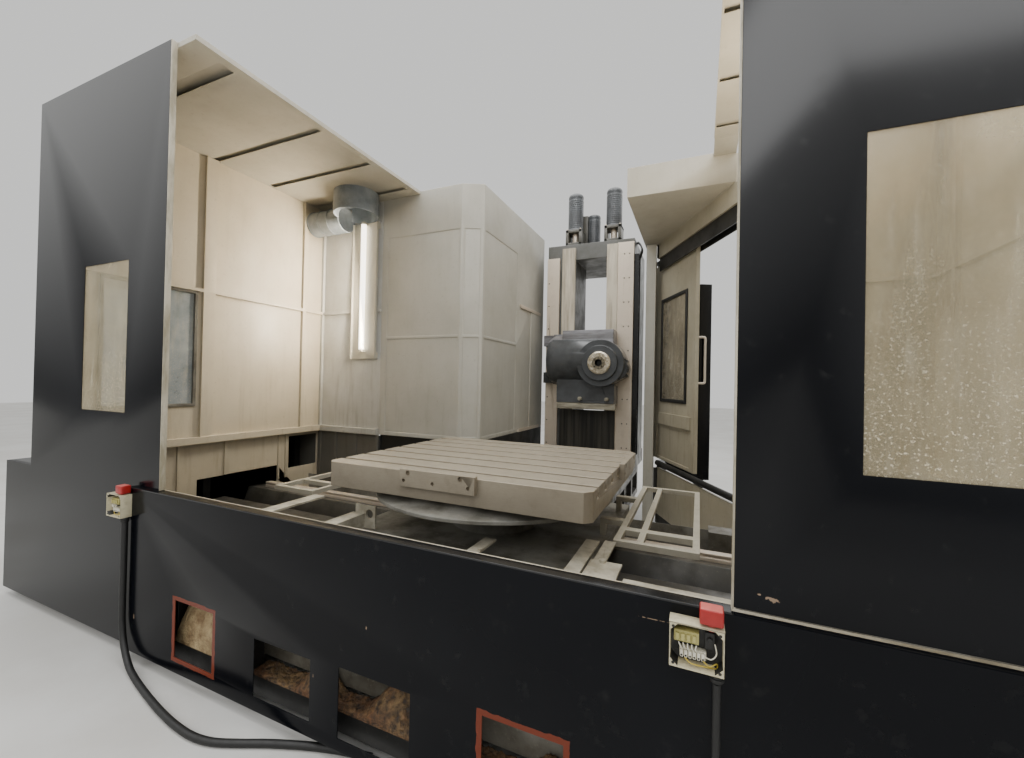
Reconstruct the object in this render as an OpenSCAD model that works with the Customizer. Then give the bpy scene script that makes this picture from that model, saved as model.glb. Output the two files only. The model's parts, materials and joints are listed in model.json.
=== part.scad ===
// Horizontal machining center with a rotary table on a cross bed, a travelling portal column
// and a walk-in cabin that is open at the front. Millimetres, +Z up. The origin is on the floor
// under the middle of the machine, and the operator stands in front, towards -Y.

/* [Overall] */
// Width over the low side plinths
machine_w = 6200; // [6100:10:6600]
// Depth from the front switch boxes to the end of the rear drive motor
machine_d = 5350; // [5300:10:5600]
// Height of the cabin's top over the floor
cabin_h = 3243; // [3200:1:3400]
// Gap between the floor and the skirt of the cabin
foot_h = 52; // [40:1:56]
// Height of the low front panel and of the side plinths
low_h = 902; // [880:1:930]

/* [Front panels] */
// Width over the two tall front panels
front_w = 5500; // [5400:10:5700]
// Distance from the middle to the left edge of the opening
open_left = 1340; // [1250:5:1400]
// Distance from the middle to the right edge of the opening
open_right = 1290; // [1200:5:1330]
// Depth of the folded tall panels
panel_t = 28; // [22:1:45]
// Depth of the folded low panel
low_t = 25; // [18:1:30]
// Thickness of the panel sheet
sheet_t = 4; // [3:0.5:6]
// Width of a front window
window_w = 462; // [400:2:520]
// Height of the front and side windows
window_h = 840; // [700:5:900]
// Height of the windows' lower edge over the floor
window_z = 1288; // [1200:2:1400]
// Thickness of the window panes
pane_t = 8; // [5:1:12]
// Distance from the opening's edge to the left window
window_in_left = 340; // [280:5:400]
// Distance from the opening's edge to the right window
window_in_right = 275; // [230:5:340]

/* [Cabin] */
// Distance from the middle to the left inner wall
zone_left = 2366; // [2340:2:2400]
// Distance from the middle to the right inner wall
zone_right = 2444; // [2400:2:2470]
// Depth of the working zone behind the front panels
zone_d = 1950; // [1940:2:1990]
// Thickness of the inner wall sheets
wall_t = 10; // [6:1:14]
// Height of the long ledge on the inner walls
ledge_z = 975; // [950:1:1000]
// Height of the ledge's face
ledge_h = 52; // [40:1:60]
// Height of the middle rail on the inner walls
mid_rail_z = 2150; // [2140:1:2200]
// Thickness of the hollow roof panels
roof_t = 28; // [24:1:40]
// Inner edge of the left roof, left of the middle
roof_left = 1183; // [1150:5:1230]
// Inner edge of the right roof, right of the middle
roof_right = 1265; // [1230:5:1280]
// Width of the dark joints in the roof
roof_gap = 50; // [30:2:70]

/* [Table] */
// Length of the table plate along the bed
table_w = 1404; // [1300:2:1420]
// Width of the table plate
table_d = 1196; // [1120:2:1220]
// Thickness of the table plate
table_t = 125; // [110:1:140]
// Height of the table's top over the floor
table_z = 1066; // [1055:1:1080]
// Table centre, right of the middle
table_x = 114; // [100:1:130]
// Table centre behind the front panels
table_y = 975; // [965:1:985]
// Width of a T-slot's neck
slot_w = 28; // [18:1:32]
// Depth of a T-slot
slot_d = 48; // [42:1:60]
// Distance between T-slots
slot_pitch = 160; // [140:1:164]
// Radius of the round swarf cover under the table
cover_r = 670; // [640:2:690]

/* [Column] */
// Width of the portal column
column_w = 966; // [950:2:980]
// Column centre, right of the middle
column_x = 62; // [55:1:66]
// Front face of the column behind the front panels
column_y = 3380; // [3360:2:3400]
// Depth of the column
column_d = 900; // [800:5:950]
// Height of the column's posts over the floor
column_h = 3070; // [3000:2:3090]
// Width of the opening between the posts
portal_w = 354; // [320:2:370]
// Middle of that opening, right of the middle of the machine
portal_x = 83; // [70:1:95]
// Height of the spindle over the floor
spindle_z = 1715; // [1700:1:1735]
// Spindle centre, right of the middle
spindle_x = 268; // [255:1:280]
// Radius of the bright spindle ring
nose_r = 115; // [105:1:125]

/* [Side door] */
// Angle between the door wall and the machine's depth
door_angle = 26.9; // [25:0.1:28]
// Width of the sliding door
door_w = 930; // [910:2:940]
// Distance from the wall's front end to the open door
door_open = 990; // [980:2:1000]
// Thickness of the door leaf
door_t = 35; // [30:1:38]
// Lower edge of the door over the floor
door_z = 717; // [712:1:730]
// Upper edge of the door over the floor
door_top = 2800; // [2780:2:2810]

/* [Hidden] */

// Front plane of the tall panels; the switch boxes stand this far in front of it
front_gear = 75;
front_y = front_gear - machine_d / 2;
play = 0.3;
fit = 0.05;
roof_z = cabin_h - roof_t;
plinth_x = machine_w / 2;
panel_x = front_w / 2;

cream = [0.80, 0.78, 0.70];
navy = [0.10, 0.11, 0.14];
iron = [0.58, 0.56, 0.51];
dark = [0.13, 0.13, 0.13];
steel = [0.70, 0.70, 0.68];
grey = [0.45, 0.46, 0.45];

// A block given by its ranges across, behind the front panels and over the floor
module slab(x, y, z) {
    translate([x[0], front_y + y[0], z[0]]) cube([x[1] - x[0], y[1] - y[0], z[1] - z[0]]);
}

// A folded pan: a face sheet at its front with returns all round, open at the back
module pan(x, z, y, depth) {
    difference() {
        slab(x, [y, y + depth], z);
        slab([x[0] + sheet_t, x[1] - sheet_t], [y + sheet_t, y + depth + 1],
            [z[0] + sheet_t, z[1] - sheet_t]);
    }
}

// An upright outline in the front view, pushed back to a depth
module front_shape(y, depth) {
    translate([0, front_y + y + depth, 0]) rotate([90, 0, 0]) linear_extrude(depth) children();
}

// A cylinder along X, Y or Z from a centre point behind the front panels
module rod_x(x, y, z, r, l) {
    translate([x, front_y + y, z]) rotate([0, 90, 0]) cylinder(r = r, h = l, $fn = 48);
}
module rod_y(x, y, z, r, l) {
    translate([x, front_y + y, z]) rotate([-90, 0, 0]) cylinder(r = r, h = l, $fn = 48);
}
module rod_z(x, y, z, r, l) {
    translate([x, front_y + y, z]) cylinder(r = r, h = l, $fn = 48);
}

// Floor frame of the cabin: straight bars that butt against each other
bar_w = 80;
bar_h = 100;
base_top = foot_h + bar_h;
inner_rail_x = 2600;
slot_left = 560;
slot_right = 640;
rear_bar_y = zone_d - 90;
housing_back = 3630;
housing_left = 1605;
base_front_y = 45;

module cabin_base() color(grey) {
    z = [foot_h, base_top];
    edge_x = plinth_x - 15;
    slab([-edge_x, edge_x], [base_front_y, base_front_y + bar_w], z);
    slab([-edge_x, -slot_left - 10], [rear_bar_y, rear_bar_y + bar_w], z);
    slab([slot_right + 60, edge_x], [rear_bar_y, rear_bar_y + bar_w], z);
    // Uprights behind the low front panel, which carry its inner rail
    for (x = [-1290, -720, 400, 1140])
        slab([x, x + 60], [base_front_y, base_front_y + 60], [base_top + play, arm_z - 60]);
    for (s = [-1, 1])
        for (x = [inner_rail_x, edge_x - bar_w])
            slab([min(s * x, s * (x + bar_w)), max(s * x, s * (x + bar_w))],
                [base_front_y + bar_w + play, rear_bar_y - play], z);
    for (x = [-housing_left + 10, -slot_left - 10 - bar_w])
        slab([x, x + bar_w], [rear_bar_y + bar_w + play, housing_back - bar_w - play], z);
    slab([-housing_left + 10, -slot_left - 10], [housing_back - bar_w, housing_back], z);
    // Uprights under the tool housing
    for (x = [-housing_left + 10, -slot_left - 10 - bar_w])
        for (y = [zone_d + 30, housing_back - bar_w])
            slab([x, x + bar_w], [y, y + bar_w], [base_top + play, ledge_z - play]);
    // Skirt sheets in front of and beside those uprights
    slab([-housing_left + 2, -slot_left - 10], [zone_d + 20, zone_d + 30 - play], [base_top, ledge_z - play]);
    slab([-slot_left - 10 + play, -slot_left - play], [zone_d + 20, housing_back], [base_top, ledge_z - play]);
    // Sill under the side door
    door_wall() wall_slab([40, post_u - 20], [-bar_w - 20, -20], z);
}

// Feet under the floor frame and under the two beds
foot_r = 50;
module levelling_feet() color(dark) {
    for (x = [-plinth_x + 60, -inner_rail_x - 40, -900, 900, inner_rail_x + 40, plinth_x - 60])
        rod_z(x, base_front_y + bar_w / 2, 0, foot_r * 0.7, foot_h);
    for (x = [-plinth_x + 60, -inner_rail_x - 40, -1200, 1200, inner_rail_x + 40, plinth_x - 60])
        rod_z(x, rear_bar_y + bar_w / 2, 0, foot_r * 0.7, foot_h);
    for (x = [-housing_left + 50, -slot_left - 50])
        rod_z(x, housing_back - bar_w / 2, 0, foot_r * 0.7, foot_h);
    door_wall() for (u = [120, post_u - 100])
        translate([u, -20 - bar_w / 2, 0]) cylinder(r = foot_r * 0.7, h = foot_h, $fn = 48);
    rod_z(post_x + post_w / 2, post_y + post_w / 2, 0, foot_r * 0.7, foot_h);
    for (x = [-bed_end + 200 : 900 : bed_end - 200])
        for (y = [bed_y0 + 110, bed_y1 - 110])
            rod_z(x, y, 0, foot_r, bed_z);
    for (s = [-1, 1])
        for (y = [bed_y1 + 300, rear_bed_end - 250, (bed_y1 + rear_bed_end) / 2])
            rod_z(column_x + s * 300, y, 0, foot_r, bed_z);
}

// Outline of the left front panel, drawn in by t all round, with the step of the low plinth
module left_panel_outline(t) {
    polygon([[-plinth_x + t, foot_h + t], [-open_left - t, foot_h + t], [-open_left - t, cabin_h - t],
        [-panel_x + t, cabin_h - t], [-panel_x + t, low_h - t], [-plinth_x + t, low_h - t]]);
}

left_window_x = -open_left - window_in_left - window_w;
right_window_x = open_right + window_in_right;

module window_hole(x, grow) {
    translate([x - grow, window_z - grow]) square([window_w + 2 * grow, window_h + 2 * grow]);
}

module left_front_panel() color(navy) {
    difference() {
        front_shape(0, panel_t) left_panel_outline(0);
        front_shape(sheet_t, panel_t) left_panel_outline(sheet_t);
        front_shape(-1, panel_t) window_hole(left_window_x, 0);
    }
}

seam_h = 4;
module right_front_panel() color(navy) {
    difference() {
        pan([open_right, panel_x], [low_h + seam_h, cabin_h], 0, panel_t);
        front_shape(-1, panel_t) window_hole(right_window_x, 0);
    }
}

// The low panel hides the left panel's foot, so it starts left of the opening
low_start = -open_left - 233;
trim_h = 6;
// Access cut-outs in the low panel: left edge, right edge, lower edge, upper edge
cut_outs = [[-1130, -842, 125, 402], [-558, -224, 112, 362], [-72, 266, 100, 376], [555, 834, 88, 394]];

module low_front_panel() color(navy) {
    difference() {
        pan([low_start, plinth_x], [foot_h, low_h - trim_h], -low_t, low_t);
        for (c = cut_outs) slab([c[0], c[1]], [-low_t - 1, 1], [c[2], c[3]]);
    }
}

// Bare edge strips: the cap of the low panel and the two uprights beside the opening
module front_trim() color(steel) {
    slab([low_start, open_right - 6], [-low_t, 0], [low_h - trim_h, low_h]);
    slab([-open_left, open_right - 6], [0, 30], [low_h - trim_h, low_h]);
    slab([-open_left, -open_left + 5], [0, panel_t], [low_h + play, cabin_h]);
    slab([open_right - 5, open_right], [0, panel_t], [low_h + play, cabin_h]);
}

module front_windows() color([0.75, 0.75, 0.7, 0.6]) {
    lap = 15;
    for (x = [left_window_x, right_window_x])
        slab([x - lap, x + window_w + lap], [sheet_t, sheet_t + pane_t],
            [window_z - lap, window_z + window_h + lap]);
}

// Low covers beside the cabin, over the ends of the cross bed
module side_plinths() color(navy) {
    for (s = [-1, 1]) mirror([s < 0 ? 1 : 0, 0, 0]) difference() {
        slab([panel_x, plinth_x], [s < 0 ? panel_t : 0, zone_d], [foot_h, low_h]);
        slab([panel_x - 1, plinth_x - sheet_t], [(s < 0 ? panel_t : 0) - 1, zone_d - sheet_t],
            [foot_h - 1, low_h - sheet_t]);
    }
}

// Square tubes in the hollow side walls that carry the roofs
module cabin_posts() color(grey) {
    tube = 60;
    for (s = [-1, 1])
        for (y = [base_front_y, zone_d / 2, rear_bar_y])
            slab([s * (inner_rail_x + 40) - tube / 2, s * (inner_rail_x + 40) + tube / 2], [y, y + tube],
                [base_top, roof_z - tube - play]);
    for (s = [-1, 1])
        slab([s * (inner_rail_x + 40) - tube / 2, s * (inner_rail_x + 40) + tube / 2],
            [base_front_y, rear_bar_y + tube], [roof_z - tube, roof_z - play]);
}

// Side skins, pans whose face looks outwards
side_window_y = 180;
side_window_d = 548;
module side_skin(z0) {
    difference() {
        slab([panel_x - panel_t, panel_x], [panel_t, zone_d], [z0, roof_z]);
        slab([panel_x - panel_t - 1, panel_x - sheet_t], [panel_t + sheet_t, zone_d - sheet_t],
            [z0 + sheet_t, roof_z - sheet_t]);
        children();
    }
}

module side_window_cut(x, grow) {
    slab(x, [side_window_y - grow, side_window_y + side_window_d + grow],
        [window_z - grow, window_z + window_h + grow]);
}

module left_outer_wall() color(navy) {
    mirror([1, 0, 0]) side_skin(low_h) side_window_cut([panel_x - panel_t - 1, panel_x + 1], frame_wall);
}

module right_outer_wall() color(navy) {
    side_skin(low_h);
}

// Inner side wall with its upright ribs, middle rail and ledge; x_in is the face to the zone
rib_p = 26;
ledge_p = 40;
module inner_wall(x_in) {
    slab([x_in, x_in + wall_t], [panel_t, zone_d], [ledge_z, roof_z]);
    for (y = [[780, 871], [1690, 1722]]) slab([x_in - rib_p, x_in], y, [ledge_z + ledge_h, roof_z]);
    slab([x_in - rib_p, x_in], [panel_t + 20, zone_d - 26 - play], [mid_rail_z, mid_rail_z + 26]);
    slab([x_in - ledge_p, x_in], [panel_t + 20, zone_d - ledge_p - play], [ledge_z, ledge_z + ledge_h]);
}

module left_inner_wall() color(cream) {
    mirror([1, 0, 0]) difference() {
        inner_wall(zone_left);
        side_window_cut([zone_left - rib_p - 1, zone_left + wall_t + 1], frame_wall);
    }
}

module right_inner_wall() color(cream) {
    inner_wall(zone_right);
    difference() {
        slab([zone_right + wall_t, zone_right + 2 * wall_t], [panel_t, zone_d],
            [base_top, ledge_z + ledge_h]);
        bed_way([zone_right, zone_right + 30]);
    }
}

// Way through a side wall for the end of the cross bed
module bed_way(x) {
    slab(x, [bed_y0 - 10, bed_y1 + 10], [base_top - 1, bed_z + bed_h + 12]);
}

// Recessed wall under the left ledge with its two service openings
module left_lower_wall() color(cream) {
    x1 = -zone_left - rib_p;
    difference() {
        slab([x1 - wall_t, x1], [panel_t, zone_d], [base_top, ledge_z]);
        slab([x1 - wall_t - 1, x1 + 1], [1603, 1931], [637, 940]);
        bed_way([x1 - wall_t - 1, x1 + 1]);
        slab([x1 - wall_t - 1, x1 + 1], [796, bed_y1 - 5], [bed_z, 685]);
    }
    slab([x1 - wall_t, -zone_left], [panel_t, zone_d], [ledge_z - wall_t, ledge_z]);
    for (rib = [[648, 14, 560], [998, 40, 690], [bed_y1 - 4, 14, 560], [1568, 30, 560]])
        slab([x1, x1 + 14], [rib[0], rib[0] + rib[1]], [rib[2], ledge_z - wall_t]);
}

// Dark frame that runs through the hollow side wall round the side window
frame_wall = 8;
module side_window_frame() color(dark) {
    mirror([1, 0, 0]) difference() {
        union() {
            side_window_cut([zone_left - 6, panel_x], frame_wall - play);
            side_window_cut([zone_left - 14, zone_left - 0.5], 20);
        }
        side_window_cut([zone_left - 20, panel_x + 1], 0);
    }
}

module side_window_pane() color([0.55, 0.62, 0.68, 0.6]) {
    mirror([1, 0, 0]) side_window_cut([zone_left + 4, zone_left + 4 + pane_t], -play);
}

// Hollow roof strip with open joints across its underside
joints = [[178, 35], [826, -4], [1308, 0], [1772, 0]];
module roof_strip(x0, x1, joints_to) {
    difference() {
        slab([x0, x1], [panel_t, zone_d], [roof_z, cabin_h]);
        slab([x0 + sheet_t, x1 - sheet_t], [panel_t + sheet_t, zone_d - sheet_t],
            [roof_z + sheet_t, cabin_h - sheet_t]);
        for (j = joints)
            slab(joints_to, [j[0], j[0] + roof_gap + j[1]], [roof_z - 1, roof_z + sheet_t + 1]);
    }
}

module left_roof() color(cream) {
    roof_strip(-panel_x, -roof_left, [-zone_left + 20, -roof_left - 60]);
}

module right_roof() color(cream) {
    roof_strip(roof_right, panel_x, [roof_right + 10, zone_right - 20]);
}

// Rear wall between the left wall and the tool housing
module rear_left_wall() color(cream) {
    x = [-panel_x, -housing_left - play];
    slab(x, [zone_d, zone_d + wall_t], [base_top, roof_z + roof_t]);
    slab([-zone_left, x[1]], [zone_d - 20, zone_d], [mid_rail_z, mid_rail_z + 26]);
    slab([-zone_left, x[1]], [zone_d - ledge_p, zone_d], [ledge_z, ledge_z + ledge_h]);
    slab([-zone_left, -zone_left + 26], [zone_d - 26, zone_d], [ledge_z + ledge_h, roof_z]);
    for (px = [-zone_left + 2, -2150, -1890, -housing_left - 30])
        slab([px, px + 24], [zone_d - 16, zone_d], [560, ledge_z]);
}

module rear_right_wall() color(cream) {
    x0 = wall_x + (wall_t + 1.1 * play) / tan(door_angle);
    slab([x0, panel_x], [zone_d, zone_d + wall_t], [base_top, cabin_h]);
    slab([x0, zone_right], [zone_d - 20, zone_d], [mid_rail_z, mid_rail_z + 26]);
    slab([x0, zone_right], [zone_d - ledge_p, zone_d], [ledge_z, ledge_z + ledge_h]);
}

// Upright strip lamp beside the tool housing, with its tray and hood
lamp_x = -1788;
lamp_w = 300;
lamp_z = 1700;
tube_len = 1200;
tube_r = 24;
lamp_y = zone_d - 60;
tube_z = lamp_z + 88;
module lamp_fixture() color(cream) {
    x = [lamp_x - lamp_w / 2, lamp_x + lamp_w / 2];
    z = [lamp_z, tube_z + tube_len + 24];
    difference() {
        slab(x, [zone_d - 48, zone_d - 22], z);
        slab([x[0] + 5, x[1] - 5], [zone_d - 49, zone_d - 26], [z[0] - 1, z[1] + 1]);
    }
    slab(x, [zone_d - 22, zone_d - 0.3], [z[1] - 60, z[1]]);
    slab(x, [zone_d - 22, zone_d - 0.3], [z[0], z[0] + 60]);
    for (sz = [tube_z - 24, tube_z + tube_len + play])
        slab([lamp_x - 18, lamp_x + 18], [lamp_y - 18, zone_d - 26], [sz, sz + 24 - play]);
}

module lamp_tube() color([1, 0.98, 0.9]) {
    rod_z(lamp_x, lamp_y, tube_z, tube_r, tube_len);
}

// Mist duct under the roof in the rear left corner: a short pipe into a drum over the lamp
duct_r = 115;
drum_r = 200;
module mist_duct() color(dark) {
    x0 = -zone_left + rib_p + 4;
    xd = lamp_x + 46;
    y = zone_d - duct_r - 16;
    z = roof_z - duct_r - 70;
    drum_y = zone_d - drum_r - 12;
    drum_z = tube_z + tube_len + 28;
    difference() {
        union() {
            rod_x(x0, y, z, duct_r, xd - 196 - x0);
            for (dx = [0, 120, 240]) rod_x(x0 + dx, y, z, duct_r + 6, 14);
            rod_z(xd, drum_y, drum_z, drum_r, roof_z - drum_z);
        }
        rod_x(x0 + 12, y, z, duct_r - 6, xd - 170 - x0);
        rod_z(xd, drum_y, drum_z - 1, drum_r - 8, roof_z - drum_z - 9);
    }
}

// Tool housing: a sheet shell with a chamfered front corner
housing_t = 30;
corner_x = 736;
corner_d = 88;
hatch_y = 3200;
hatch_d = 300;
hatch_z = 1000;
hatch_h = 1306;
panel_joint = 1898;
recess = 6;
module housing_outline(t) {
    polygon([[-housing_left + t, zone_d + t], [-corner_x - t / 3, zone_d + t],
        [-slot_left - t, zone_d + corner_d + t / 3], [-slot_left - t, housing_back - t],
        [-housing_left + t, housing_back - t]]);
}

// Sunk panels: front, corner and side, each with an upper and a lower field
module housing_fields(z0, z1) {
    slab([-housing_left + 69, -corner_x - 20], [zone_d - 1, zone_d + recess], [z0, z1]);
    slab([-slot_left - recess, -slot_left + 1], [zone_d + corner_d + 40, hatch_y - hatch_d - 100], [z0, z1]);
    corner_len = norm([corner_x - slot_left, corner_d]);
    translate([-corner_x, front_y + zone_d, z0])
        rotate([0, 0, atan2(corner_d, corner_x - slot_left)])
            translate([30, -1, 0]) cube([corner_len - 60, recess + 1, z1 - z0]);
}

module tool_housing() color(cream) {
    difference() {
        translate([0, front_y, ledge_z]) linear_extrude(cabin_h - ledge_z) housing_outline(0);
        translate([0, front_y, ledge_z + housing_t])
            linear_extrude(cabin_h - ledge_z - 2 * housing_t) housing_outline(housing_t);
        housing_fields(panel_joint + 10, cabin_h - 396);
        housing_fields(ledge_z + 35, panel_joint - 12);
        slab([-slot_left - housing_t - 1, -slot_left + 1], [hatch_y + 20, hatch_y + hatch_d - 20],
            [hatch_z + 20, hatch_z + hatch_h - 20]);
    }
}

// Shutter of the tool window and the two rails that hold it
hatch_t = 10;
hatch_x = -slot_left + play;
module hatch_rails() color(steel) {
    y = [hatch_y - hatch_d - 20, hatch_y + hatch_d];
    for (z = [[hatch_z - 24, hatch_z - play], [hatch_z + hatch_h + play, hatch_z + hatch_h + 24]])
        slab([-slot_left, hatch_x + hatch_t + play + 4], y, z);
    slab([hatch_x + hatch_t + play, hatch_x + hatch_t + play + 4], y,
        [hatch_z - play - 1, hatch_z + 12]);
    slab([hatch_x + hatch_t + play, hatch_x + hatch_t + play + 4], y,
        [hatch_z + hatch_h - 12, hatch_z + hatch_h + play + 1]);
}

module tool_hatch() color(steel) {
    slab([hatch_x, hatch_x + hatch_t], [hatch_y, hatch_y + hatch_d - play], [hatch_z, hatch_z + hatch_h]);
}

// Tool magazine inside the housing: a disc with pots, turning on a fixed shaft
disc_r = 440;
disc_t = 40;
pot_n = 20;
pot_r = 48;
pot_len = 150;
disc_x = -1072;
disc_y = 3200;
disc_z = 1900;
shaft_r = 45;
module magazine_frame() color(grey) {
    slab([disc_x - 90, disc_x + 90], [disc_y + 140, disc_y + 200], [ledge_z + housing_t, disc_z + 110]);
    slab([disc_x - 160, disc_x + 160], [disc_y + 60, disc_y + 280],
        [ledge_z + housing_t, ledge_z + housing_t + 24]);
    rod_y(disc_x, disc_y - 30, disc_z, shaft_r, 200);
    rod_y(disc_x, disc_y + 120, disc_z, shaft_r + 25, 40);
    rod_y(disc_x + 40, disc_y + 200, disc_z - 260, 70, 180);
}

module magazine_disc() color(steel) {
    difference() {
        union() {
            rod_y(disc_x, disc_y, disc_z, disc_r, disc_t);
            rod_y(disc_x, disc_y + disc_t, disc_z, shaft_r + 30, 70);
            for (i = [0 : pot_n - 1])
                rod_y(disc_x + (disc_r - 60) * cos(i * 360 / pot_n), disc_y - pot_len + disc_t,
                    disc_z + (disc_r - 60) * sin(i * 360 / pot_n), pot_r, pot_len);
        }
        rod_y(disc_x, disc_y - 10, disc_z, shaft_r + fit, 200);
        for (i = [0 : pot_n - 1])
            rod_y(disc_x + (disc_r - 60) * cos(i * 360 / pot_n), disc_y - pot_len + disc_t - 1,
                disc_z + (disc_r - 60) * sin(i * 360 / pot_n), pot_r * 0.6, pot_len * 0.7);
    }
}

// Slanted wall of the side door: u runs along it from the front end, v inwards
wall_x = 1553;
wall_y = zone_d;
post_u = 1755;
door_z_gap = 4;
module door_wall() {
    translate([wall_x, front_y + wall_y, 0]) rotate([0, 0, 90 + door_angle]) children();
}

module wall_slab(u, v, z) {
    translate([u[0], v[0], z[0]]) cube([u[1] - u[0], v[1] - v[0], z[1] - z[0]]);
}

door_v = -60;
rail_z = 2715;
module door_frame() color(cream) {
    door_wall() {
        wall_slab([0, 90], [-130, 0], [base_top + play, cabin_h - 247]);
        wall_slab([90, post_u - 30], [-20, 0], [rail_z + 130, cabin_h - 247 - play]);
        wall_slab([90, post_u - 30], [-40, -20], [base_top + play, 640]);
    }
}

// Light square post at the rear end of the door wall
post_x = 660;
post_y = 3445;
post_w = 100;
module rear_post() color(cream) {
    slab([post_x, post_x + post_w], [post_y, post_y + post_w],
        [foot_h, cabin_h - fascia_h - 11 - play]);
}

// Dark top channel that the door hangs in, and the round bottom rail
top_rail_h = 126;
tube_v = -20;
bottom_rail_z = 682;
bottom_rail_r = 28;
module door_rails() color(dark) {
    door_wall() {
        wall_slab([90, 1985], [door_v - door_t - 22, door_v - door_t - 12], [rail_z, rail_z + top_rail_h]);
        wall_slab([90, post_u - 30], [-32, -20], [rail_z, rail_z + top_rail_h]);
        wall_slab([90, post_u - 30], [door_v - door_t - 22, -20],
            [rail_z + top_rail_h, rail_z + top_rail_h + 8]);
        wall_slab([post_u - 30, 1985], [door_v - door_t - 22, door_v + 20],
            [rail_z + top_rail_h, rail_z + top_rail_h + 8]);
        translate([90, tube_v - bottom_rail_r + 20, bottom_rail_z]) rotate([0, 90, 0])
            cylinder(r = bottom_rail_r, h = post_u - 90 - 36, $fn = 48);
        for (u = [95, post_u - 70])
            wall_slab([u, u + 30], [-40, -20], [640, bottom_rail_z - bottom_rail_r + 4]);
    }
}

// Dark outer panel that the open door slides behind
cover_u = 1045;
module door_outer_cover() color(navy) {
    out_v = -235;
    door_wall() {
        wall_slab([cover_u, 1990], [out_v, out_v + 15], [650, 2429]);
        wall_slab([cover_u, cover_u + 15], [out_v + 15, -130], [650, 2429]);
        for (z = [[650, 665], [2414, 2429]])
            wall_slab([cover_u + 15, 1990], [out_v + 15, -117], z);
        for (u = [cover_u + 40, 1900]) wall_slab([u, u + 60], [-200, -140], [0, 650]);
        wall_slab([1900, 1960], [-200, -117 - play], [2429, rail_z + 60]);
    }
}

// Door leaf with its window opening, a crossbar and a sunk lower field
leaf_u = door_open;
pane_u = 185;
pane_w = 520;
pane_z = 1365;
pane_h = 1010;
module door_leaf() color(cream) {
    door_wall() {
        difference() {
            wall_slab([leaf_u, leaf_u + door_w], [door_v - door_t, door_v], [door_z, door_top]);
            wall_slab([leaf_u + pane_u, leaf_u + pane_u + pane_w], [door_v - door_t - 1, door_v + 1],
                [pane_z, pane_z + pane_h]);
            wall_slab([leaf_u + 90, leaf_u + door_w - 90], [door_v - 12, door_v + 1], [door_z + 30, 1070]);
        }
        wall_slab([leaf_u + 60, leaf_u + door_w - 150], [door_v, door_v + 16], [1095, 1215]);
        for (u = [leaf_u + 120, leaf_u + door_w - 160])
            wall_slab([u, u + 60], [door_v - door_t + 4, door_v - 4],
                [door_top, rail_z + top_rail_h - play]);
    }
}

// Door window with its thick dark gasket
module door_pane() color([0.6, 0.6, 0.55, 0.7]) {
    g = 34;
    door_wall() {
        difference() {
            wall_slab([leaf_u + pane_u - g, leaf_u + pane_u + pane_w + g], [door_v, door_v + 14],
                [pane_z - g, pane_z + pane_h + g]);
            wall_slab([leaf_u + pane_u, leaf_u + pane_u + pane_w], [door_v - 1, door_v + 15],
                [pane_z, pane_z + pane_h]);
        }
        wall_slab([leaf_u + pane_u + play, leaf_u + pane_u + pane_w - play],
            [door_v - pane_t, door_v + 1], [pane_z + play, pane_z + pane_h - play]);
    }
}

// Bow handle on the outside of the door
handle_z = 1515;
handle_h = 440;
handle_p = 85;
module door_handle() color(steel) {
    door_wall() translate([leaf_u + 35, door_v - door_t, handle_z]) {
        for (z = [12, handle_h - 12])
            translate([0, 0, z]) rotate([90, 0, 0]) cylinder(r = 11, h = handle_p - 11, $fn = 32);
        translate([0, 11 - handle_p, 0]) cylinder(r = 11, h = handle_h, $fn = 32);
    }
}

// Roof over the door corner with its deep fascia
fascia_h = 236;
roof_y = 2210;
module rear_roof() color(cream) {
    reach = (roof_y - wall_y) * tan(door_angle);
    far = 3600;
    edge = [[slot_right, roof_y], [wall_x - reach, roof_y], [wall_x - (far - wall_y) * tan(door_angle), far],
        [slot_right, far]];
    translate([0, front_y, cabin_h - roof_t]) linear_extrude(roof_t) polygon(edge);
    translate([0, front_y, cabin_h - fascia_h]) linear_extrude(10) polygon(edge);
    slab([slot_right, wall_x - reach], [roof_y, roof_y + 20], [cabin_h - fascia_h, cabin_h - roof_t]);
    slab([slot_right, slot_right + 18], [roof_y + 20, far], [cabin_h - fascia_h, cabin_h - roof_t]);
    door_wall() wall_slab([(roof_y - wall_y) / cos(door_angle), 1780], [-16, 0],
        [cabin_h - fascia_h - 11, cabin_h - roof_t]);
}

// Cross bed, cast in one piece with ribs between its guide ways
bed_end = 2500;
bed_z = 60;
bed_h = 460;
bed_y0 = table_y - 520;
bed_y1 = table_y + 520;
guide_off = 400;
rail_w = 53;
rail_h = 45;
module bed_profile() {
    w = bed_y1 - bed_y0;
    polygon([[0, 0], [w, 0], [w, bed_h - 90], [w - 40, bed_h], [w - 200, bed_h], [w - 240, bed_h - 120],
        [w / 2 + 130, bed_h - 120], [w / 2 + 110, bed_h - 40], [w / 2 - 110, bed_h - 40],
        [w / 2 - 130, bed_h - 120], [240, bed_h - 120], [200, bed_h], [40, bed_h], [0, bed_h - 90]]);
}

module front_bed() color(grey) {
    difference() {
        translate([-bed_end, front_y + bed_y0, bed_z]) rotate([90, 0, 90])
            linear_extrude(2 * bed_end) bed_profile();
        // Cored pockets in the front and rear faces
        for (x = [-bed_end + 80 : 480 : bed_end - 400])
            for (y = [[bed_y0 - 1, bed_y0 + 60], [bed_y1 - 60, bed_y1 + 1]])
                if (y[0] < table_y || abs(x + 200 - column_x) > 700)
                    slab([x, x + 400], y, [bed_z + 70, bed_z + 300]);
    }
}

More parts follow.
